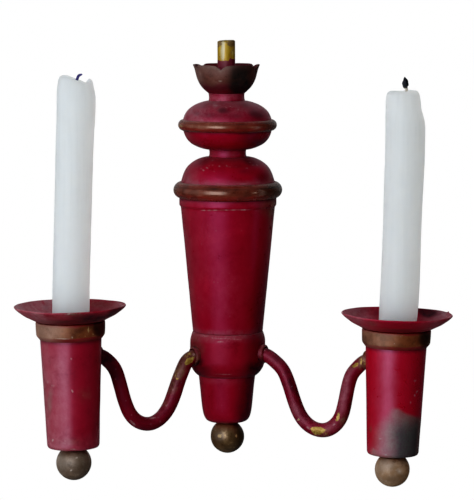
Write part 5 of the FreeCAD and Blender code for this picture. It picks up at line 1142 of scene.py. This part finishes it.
    # the left ball's paler left side and the right ball's pale patches are painted highlights over dust; the dark band
    # just under each cup is a painted shadow; the other dark patches are darker towards the sides and bottom
    piece(side + "_ball", ball_geo(axes, 10.0, -88.5, -80.1, 3.05, -91.0, sd + 41), BRONZE_BALL_R if right else BRONZE_BALL_L, side + "_finial", [side + "_finial"], "bronze", {
        "tint": lambda V, N, L: 0.55 * sstep(0.45, 0.90, N[:, 2]), "speck": lambda V, N, L: 0.4,
        "dust_and_sheen": lambda V, N, L, sd=sd, a=(0.0 if right else 0.34), t=([(386.5, 466.0, 6.5, 5.5, -15, 0.9, 0.62), (398.6, 471.0, 3.0, 2.4, 20, 0.9, 0.40)] if right else []): 0.10 + 0.30 * fbm(V, 6, sd + 43) + a * sstep(0.2, 0.9, -N[:, 0]) + marks_at(V, N, t, sd + 97, 0.3, 5.0),
        "scuff_and_highlight": lambda V, N, L, sd=sd, t=([(399.6, 471.4, 1.8, 0.9, 15, 0.6, 0.5), (386.0, 481.0, 1.8, 1.4, 0, 0.7, 0.35), (381.0, 463.5, 1.0, 0.8, 0, 0.7, 0.3)] if right else
                                           [(76.6, 457.8, 1.2, 1.0, 0, 0.6, 0.8), (71.1, 470.3, 1.2, 0.9, -20, 0.6, 0.85), (82.6, 457.2, 1.2, 0.9, 0, 0.6, 0.35), (66.0, 476.0, 2.0, 1.0, 0, 0.8, 0.3)]): marks_at(V, N, t, sd + 91, 0.25, 1.6),
        "grime_and_shade": lambda V, N, L, sd=sd, t=([(398.6, 476.6, 6.0, 3.0, -10, 0.9, 0.46), (391.0, 478.6, 11.0, 4.0, 0, 0.9, 0.44), (391.0, 457.8, 14.0, 1.3, 2, 0.6, 0.8), (379.0, 469.0, 4.5, 11.0, 0, 0.9, 0.34), (386.0, 476.0, 4.0, 2.0, 0, 0.9, 0.3), (394.0, 480.0, 6.0, 2.0, 0, 0.9, 0.35)] if right else
                                           [(83.0, 464.0, 6.0, 12.0, 0, 0.8, 0.5), (73.0, 451.6, 10.0, 1.4, 0, 0.7, 0.6), (75.5, 471.5, 4.0, 3.0, 0, 0.8, 0.4), (81.0, 452.0, 6.0, 3.0, 0, 0.8, 0.5)]): np.maximum(marks_at(V, N, t, sd + 95, 0.4, 4.0), 0.30 * sstep(0.0, 0.5, vnoise(V, 6, sd + 45)))})

    # collar where the arm meets the cup
    d = ARM_DIR[side]
    end = ARM_ROUTE[side][0][-1]
    axis_rho = c["pivot"][0] + (end[1] - c["pivot"][1]) * math.tan(math.radians(c["lean"]))
    depth = end[1] - c["rim_z"]
    wall_r = 17.1 - (-19.1 - depth) * (17.1 - 14.45) / (-19.1 + 79.8 - 1.2)
    axes2 = axes_of(np.array([0, -34, end[1]]) + (axis_rho - wall_r) * d, d, np.cross(d, [0, 0, 1.0]))
    ring = outline([([(4.02, -1.7), (4.7, -1.9)], 0.2), ([(4.7, -1.9), (5.2, -1.6), (5.4, -0.9)], 0.3), ([(5.4, -0.9), (5.38, 1.2)], 0.1), ([(5.38, 1.2), (4.02, 1.2)], 0.1), ([(4.02, 1.2), (4.02, -1.7)], 0.05)])

    def seat_cup(R, Z, PH, rad=wall_r):
        t = R * np.sin(PH)
        sag = rad - np.sqrt(np.maximum(rad ** 2 - t ** 2, 1))
        return R, np.where(Z > 1.1, sag + 0.35, Z)

    # darker towards the cup, the left collar dark all over: painted shade from the cup
    piece(side + "_cup_collar_ring", lathe(ring, axes2, 56, True, seat_cup), RED_ARM, "frame", [side + "_cup_collar"], "red_paint", {
        "bare": lambda V, N, L, a=(0.5 if right else 0.0), sd=sd: a * sstep(-0.6, 0.3, vnoise(V, 5, sd + 51)),
        "tint": lambda V, N, L, a=(0.9 if right else 0.4): a,
        "grime_and_shade": lambda V, N, L, a=(0.15 if right else 0.75): 0.5 * sstep(0.2, 1.0, L[:, 2]) * (1 - a) + a})

# ------------------------------------------------------------------ the candles
CANDLE = {
    "left": dict(base=(-91.62134, -80.38378, -55.300), axis=(0.0278536, -0.0019477, 0.9996101), tall=158.36,
                 t=[0, 1.5, 3, 4.5, 6, 9, 12, 16.5, 21, 27, 30, 42, 60, 78, 100, 120, 130, 160],
                 wl=[8.2, 9.4, 9.95, 10.15, 10.35, 10.6, 10.6, 10.55, 10.45, 10.42, 10.5, 10.6, 10.55, 10.55, 10.55, 10.65, 10.45, 10.4],
                 wr=[6.9, 7.9, 8.8, 9.3, 9.65, 10.4, 10.95, 11.15, 11.05, 10.95, 10.65, 10.4, 10.25, 10.25, 10.15, 10.1, 10.35, 10.4]),
    "right": dict(base=(91.77399, -80.79977, -61.39856), axis=(0.0339445, -0.0023736, 0.9994209), tall=156.09,
                  t=[0, 1.5, 3, 4.5, 7.5, 10.5, 12, 13.5, 15, 16.5, 18, 21, 25.5, 30, 42, 54, 66, 80, 96, 108, 120, 130, 160],
                  wl=[8.6, 9.8, 11.0, 11.3, 11.45, 11.4, 11.35, 11.35, 11.3, 11.25, 11.15, 11.1, 10.95, 10.8, 10.6, 10.55, 10.4, 10.25, 10.25, 10.35, 10.55, 10.6, 10.5],
                  wr=[5.6, 6.4, 7.2, 7.55, 8.1, 8.45, 8.9, 9.4, 9.9, 10.4, 10.8, 11.2, 11.4, 11.5, 11.6, 11.5, 11.3, 11.3, 11.5, 11.6, 11.45, 10.85, 10.6]),
}
ACROSS = np.array([math.cos(math.radians(4)), -math.sin(math.radians(4)), 0.0])


def candle_geo(side, segs=112):
    c = CANDLE[side]
    axes = axes_of(c["base"], c["axis"], ACROSS)
    o, ex, ey, ez = axes
    tall = c["tall"]
    ph = np.arange(segs) * TAU / segs - math.pi
    t_tab = np.array(c["t"], float)
    wl, wr = np.array(c["wl"]), np.array(c["wr"])

    def field(x):
        """Depth of the burnt top below the tallest point, across the candle."""
        if side == "left":
            return np.interp(x, [-11, -8.8, -6.5, -3.5, -0.4, 2.5, 4.9, 11], [0.55, 0.4, 0.55, 1.25, 2.25, 3.35, 4.35, 4.9])
        return np.interp(x, [-11, -9.5, -4, 0, 4.0, 6, 11], [1.7, 1.45, 1.45, 1.35, 0.75, 0.75, 1.2])

    def half(t):
        return np.interp(t, t_tab, wl), np.interp(t, t_tab, wr)

    def radius(t, a):
        l, r = half(t)
        base = (l + r) / 2
        shift = (r - l) / 2
        return base, shift

    # edge of the top at each angle
    if side == "left":
        lip = 2.9 * np.exp(-((ph - math.radians(88)) / math.radians(30)) ** 2)
    else:
        lip = 0.35 * np.exp(-((ph - math.radians(80)) / math.radians(40)) ** 2)
    te = np.maximum(field(9.4 * np.sin(ph)) - lip, 0.15)
    rows_t = np.concatenate([[0], np.linspace(0.03, 0.2, 3), np.linspace(0.32, 2.2, 10), np.linspace(2.8, 30, 34), np.linspace(32, tall - 1.2, 52), [tall - 0.5, tall - 0.12, tall]])
    n = len(rows_t)
    T = np.zeros((n, segs))
    for j in range(segs):
        T[:, j] = te[j] + rows_t * (tall - te[j]) / tall
    PH = np.repeat(ph[None, :], n, 0)
    B, S = radius(T, PH)
    q = np.stack([np.sin(PH).ravel() * 10, -np.cos(PH).ravel() * 10, T.ravel() * 0.22], 1)
    q2 = np.stack([np.sin(PH).ravel() * 10, -np.cos(PH).ravel() * 10, T.ravel()], 1)
    sd = 500 if side == "left" else 520
    R = B + (0.10 * fbm(q, 6, sd, 3) + 0.05 * fbm(q2, 3.5, sd + 3, 2)).reshape(B.shape)
    # softened shoulder and foot
    k = np.clip((T - te[None, :]) / 1.3, 0, 1)
    R = R - 0.85 * (1 - np.sqrt(np.clip(1 - (1 - k) ** 2, 0, 1)))
    R = R - 0.5 * sstep(tall - 0.7, tall, T)
    X = R * np.sin(PH) + S
    Y = -R * np.cos(PH)
    H = tall - T
    rings_x, rings_y, rings_h = [X], [Y], [H]
    # over the top to the middle
    fr = np.array([0.97, 0.93, 0.88, 0.82, 0.75, 0.67, 0.58, 0.48, 0.37, 0.25, 0.12])
    x0, y0 = X[0], Y[0]
    cx = float(S[0].mean())
    re = np.hypot(x0 - cx, y0)
    for f in fr:
        x = cx + (x0 - cx) * f
        y = y0 * f
        inner = sstep(0.0, 2.6, re * (1 - f))
        tf = field(x) + 0.14 * vnoise(np.stack([x, y, np.full(segs, 3.0)], 1), 3.0, sd + 9)
        # melted hollow round the wick
        tf = tf + (0.55 if side == "left" else 0.4) * np.exp(-(((x - 0.4) ** 2 + y ** 2) / 3.2 ** 2))
        h = tall - (te * (1 - inner) + tf * inner)
        rings_x.insert(0, x[None, :])
        rings_y.insert(0, y[None, :])
        rings_h.insert(0, h[None, :])
    X, Y, H = np.concatenate(rings_x), np.concatenate(rings_y), np.concatenate(rings_h)
    m = len(X)
    V = (o + X[..., None] * ex + Y[..., None] * ey + H[..., None] * ez).reshape(-1, 3)
    cen_t = o + cx * ex + (float(H[0].mean())) * ez
    cen_b = o + float(S[-1].mean()) * ex + 0.0 * ez
    V = np.concatenate([V, [cen_t], [cen_b]])
    F = []
    for i in range(m - 1):
        for j in range(segs):
            kk = (j + 1) % segs
            F.append((i * segs + j, i * segs + kk, (i + 1) * segs + kk, (i + 1) * segs + j))
    for j in range(segs):
        kk = (j + 1) % segs
        F.append((m * segs, kk, j))
        F.append((m * segs + 1, (m - 1) * segs + j, (m - 1) * segs + kk))
    loc = np.concatenate([np.stack([np.hypot(X, Y).ravel(), np.arctan2(X, -Y).ravel(), H.ravel()], 1), [[0, 0, H[0].mean()], [0, 0, 0]]])
    return (V, F, loc), axes


for side, mat in (("left", WAX_L), ("right", WAX_R)):
    geo, axes = candle_geo(side)
    tall = CANDLE[side]["tall"]
    piece(side + "_candle_body", geo, mat, side + "_candle", [side + "_candle"], "wax", {
        # bluer towards the foot: painted offset for red light bounced from the pan
        "cool": lambda V, N, L: 1 - sstep(34, 62, L[:, 2]),
        "warm": lambda V, N, L, tall=tall: 0.25 * np.exp(-(L[:, 0] / 3.5) ** 2) * sstep(tall - 8, tall - 3, L[:, 2]),
        "soot": lambda V, N, L, tall=tall: 0.55 * np.exp(-(L[:, 0] / 1.6) ** 2) * sstep(tall - 8, tall - 4, L[:, 2])}, 60)

    o, ex, ey, ez = axes

    def wick_point(px_x, px_y, o=o, ex=ex, ez=ez, ey=ey):
        """Point on the candle's middle plane that shows at an image point."""
        a = EYE
        ray = FWD + SIDE * (px_x - 237) / 3000 + OVER * (250 - px_y) / 3000
        k = ((o - a) @ ey) / (ray @ ey)
        return a + ray * k

    if side == "left":
        pts = [wick_point(*p) for p in ((76.7, 86.0), (76.8, 82.0), (77.0, 79.6), (77.6, 77.6), (78.6, 76.0), (79.9, 74.95), (81.2, 74.5), (82.3, 74.7))]
        rad = [0.72, 0.74, 0.78, 0.80, 0.76, 0.68, 0.55, 0.30]
        flat = np.array([1.0, 1.0])
        lobes = 0.10
        wmat = WICK_L
    else:
        pts = [wick_point(*p) for p in ((406.6, 98.0), (406.6, 93.0), (406.5, 90.5), (406.2, 88.6), (405.7, 87.3), (405.4, 85.6), (405.3, 83.6), (405.3, 81.3), (405.1, 79.4), (404.8, 78.0), (404.5, 76.9))]
        rad = [0.75, 0.78, 0.80, 0.86, 1.15, 1.68, 1.86, 1.58, 1.08, 0.62, 0.18]
        flat = np.array([0.72, 1.0])
        lobes = 0.07
        wmat = WICK_R
    pts = np.array(pts)
    s = np.concatenate([[0], np.cumsum(np.linalg.norm(np.diff(pts, axis=0), axis=1))])
    e = np.linspace(0, s[-1], 60)
    smooth = run(pts.tolist(), 0.2)
    ss = np.concatenate([[0], np.cumsum(np.linalg.norm(np.diff(smooth, axis=0), axis=1))])
    e = np.linspace(0, ss[-1], 64)
    path = np.stack([np.interp(e, ss, smooth[:, k]) for k in range(3)], 1)
    rr = np.interp(e / ss[-1], s / s[-1], rad)

    def braid(r, A, S, lobes=lobes, flat=flat):
        p = np.stack([np.cos(A).ravel() * 2, np.sin(A).ravel() * 2, S.ravel() * 2], 1)
        return r * (1 + lobes * np.cos(3 * A + 2.4 * S) + 0.10 * fbm(p, 1.6, 701, 2).reshape(r.shape)), flat

    foot = float(CANDLE[side]["tall"])
    pale_to = 0.0 if side == "left" else 88.2
    piece(side + "_wick_cord", sweep(path, rr, ey, 20, braid), wmat, side + "_candle", [side + "_wick"], "wick", {
        "warm": lambda V, N, L, y0=pale_to: sstep(y0 - 0.6, y0 + 0.8, pix(V)[1]) if y0 else np.zeros(len(V))}, 70)

# ---------------------------------------------- hardware that keeps its CAD shape
for node, mat in (("tie_rod", STEEL_DARK), ("top_washer", STEEL_DARK), ("top_locknut", BRASS_NUT), ("hub_nuts", STEEL), ("finial_studs", BRASS_NUT), ("finial_stud_nuts", STEEL),
                  ("plate_screws", STEEL), ("plate_screw_nuts", STEEL), ("plate_spacers", STEEL), ("wall_plate", STEEL_DARK)):
    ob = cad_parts[node]
    ob.data.materials.clear()
    ob.data.materials.append(mat)
    ob.data.polygons.foreach_set("use_smooth", [True] * len(ob.data.polygons))
    ob.data.set_sharp_from_angle(angle=math.radians(32))

# ------------------------------------------------------------- stage and light
scene = bpy.context.scene
scene.view_settings.view_transform = "Standard"
scene.view_settings.look = "None"
scene.view_settings.exposure = 0.0
scene.view_settings.gamma = 1.0
# print-like contrast: a soft toe that deepens the shadows and leaves white white
scene.view_settings.use_curve_mapping = True
tone = scene.view_settings.curve_mapping
toe = tone.curves[3]
TOE = 0.045
for x in (0.006, 0.015, 0.03, 0.06, 0.12, 0.25, 0.5):
    toe.points.new(x, (1 + TOE) * x * x / (x + TOE))
for pt in toe.points:
    pt.handle_type = "AUTO_CLAMPED"
tone.update()

floor_me = bpy.data.meshes.new("floor")
floor_me.from_pydata([(-60, -60, -1.7), (60, -60, -1.7), (60, 60, -1.7), (-60, 60, -1.7)], [], [(0, 1, 2, 3)])
floor = bpy.data.objects.new("floor", floor_me)
scene.collection.objects.link(floor)
fm = bpy.data.materials.new("pale_floor")
fm.use_nodes = True
ft = fm.node_tree
ft.nodes.clear()
f_out = ft.nodes.new("ShaderNodeOutputMaterial")
f_mix = ft.nodes.new("ShaderNodeMixShader")
f_dif = ft.nodes.new("ShaderNodeBsdfDiffuse")
f_dif.inputs["Color"].default_value = (0.40, 0.40, 0.40, 1)
f_emi = ft.nodes.new("ShaderNodeEmission")
f_emi.inputs["Strength"].default_value = 1.0
f_path = ft.nodes.new("ShaderNodeLightPath")
ft.links.new(f_path.outputs["Is Camera Ray"], f_mix.inputs[0])
ft.links.new(f_dif.outputs[0], f_mix.inputs[1])
ft.links.new(f_emi.outputs[0], f_mix.inputs[2])
ft.links.new(f_mix.outputs[0], f_out.inputs[0])
floor_me.materials.append(fm)

# soft surroundings: paler behind and to the left, dark to the right
world = bpy.data.worlds.new("studio")
scene.world = world
world.use_nodes = True
wt = world.node_tree
wt.nodes.clear()


def wnode(kind):
    return wt.nodes.new(kind)


w_out = wnode("ShaderNodeOutputWorld")
w_tc = wnode("ShaderNodeTexCoord")


def lobe(direction, lo, hi, amount):
    v = Vector(direction).normalized()
    d = wnode("ShaderNodeVectorMath")
    d.operation = "DOT_PRODUCT"
    wt.links.new(w_tc.outputs["Generated"], d.inputs[0])
    d.inputs[1].default_value = v
    m = wnode("ShaderNodeMapRange")
    m.interpolation_type = "SMOOTHSTEP"
    wt.links.new(d.outputs["Value"], m.inputs[0])
    m.inputs[1].default_value = lo
    m.inputs[2].default_value = hi
    m.inputs[3].default_value = 0.0
    m.inputs[4].default_value = amount
    return m.outputs[0]


def wadd(a, b):
    n = wnode("ShaderNodeMath")
    n.operation = "ADD"
    for s, v in zip(n.inputs, (a, b)):
        if isinstance(v, bpy.types.NodeSocket):
            wt.links.new(v, s)
        else:
            s.default_value = v
    return n.outputs[0]


strength = wadd(wadd(wadd(lobe((-0.95, -0.25, 0.1), -0.1, 0.95, 0.10), lobe((0, 1, 0.1), 0.1, 0.95, 0.20)), lobe((0, 0, 1), 0.2, 1.0, 0.16)), 0.015)
w_amb = wnode("ShaderNodeBackground")
w_amb.inputs["Color"].default_value = (0.86, 0.94, 1.0, 1)
wt.links.new(strength, w_amb.inputs["Strength"])
w_cam = wnode("ShaderNodeBackground")
w_cam.inputs["Color"].default_value = (1, 1, 1, 1)
w_path = wnode("ShaderNodeLightPath")
w_mix = wnode("ShaderNodeMixShader")
wt.links.new(w_path.outputs["Is Camera Ray"], w_mix.inputs[0])
wt.links.new(w_amb.outputs[0], w_mix.inputs[1])
wt.links.new(w_cam.outputs[0], w_mix.inputs[2])
wt.links.new(w_mix.outputs[0], w_out.inputs[0])


def area(name, az, el, dist, width, height, radiance, color, soft=True, sheen=True):
    """Rectangular light; az from the camera's side, positive to its right."""
    a = math.radians(az) - math.radians(4.0)
    e = math.radians(el)
    direction = Vector((math.sin(a) * math.cos(e), -math.cos(a) * math.cos(e), math.sin(e)))
    at = Vector((0, -0.06, -0.01)) + direction * dist
    li = bpy.data.lights.new(name, "AREA")
    li.shape = "RECTANGLE"
    li.size, li.size_y = width, height
    li.energy = radiance * math.pi * width * height
    li.color = color
    ob = bpy.data.objects.new(name, li)
    ob.location = at
    ob.rotation_mode = "QUATERNION"
    ob.rotation_quaternion = (-direction).to_track_quat("-Z", "Y")
    ob.visible_diffuse = soft
    ob.visible_glossy = sheen
    scene.collection.objects.link(ob)
    return ob


DAY = (0.90, 0.955, 1.0)
area("window_soft", -29, 14, 1.0, 1.45, 1.25, 2.42, DAY, sheen=False)
area("window_sheen", -25.5, 8, 1.0, 0.48, 0.70, 2.2, DAY, soft=False)
area("window_glow", -27.5, 8, 1.02, 0.84, 0.80, 2.1, DAY, soft=False)
area("wall_left", -88, 6, 1.2, 1.0, 1.2, 0.62, DAY, sheen=False)
area("window_far", -78, 8, 1.0, 1.10, 0.72, 0.40, DAY, soft=False)
area("lamp_right", 60, 6, 1.6, 0.16, 0.26, 4.5, (1.0, 0.97, 0.93))
area("card_right", 62, 12, 1.4, 1.6, 1.6, 0.12, (0.95, 0.97, 1.0), sheen=False)
area("wall_back", 172, 8, 1.2, 1.6, 1.4, 2.6, (0.96, 0.98, 1.0), sheen=False)

cam = bpy.data.cameras.new("camera")
cam.lens = 216.0
cam.sensor_width = 36.0
cam.sensor_fit = "AUTO"
cam.clip_start, cam.clip_end = 0.05, 400.0
cam_ob = bpy.data.objects.new("camera", cam)
M = Matrix((
    (SIDE[0], OVER[0], -FWD[0], EYE[0] * MM),
    (SIDE[1], OVER[1], -FWD[1], EYE[1] * MM),
    (SIDE[2], OVER[2], -FWD[2], EYE[2] * MM),
    (0, 0, 0, 1)))
cam_ob.matrix_world = M
scene.collection.objects.link(cam_ob)
scene.camera = cam_ob
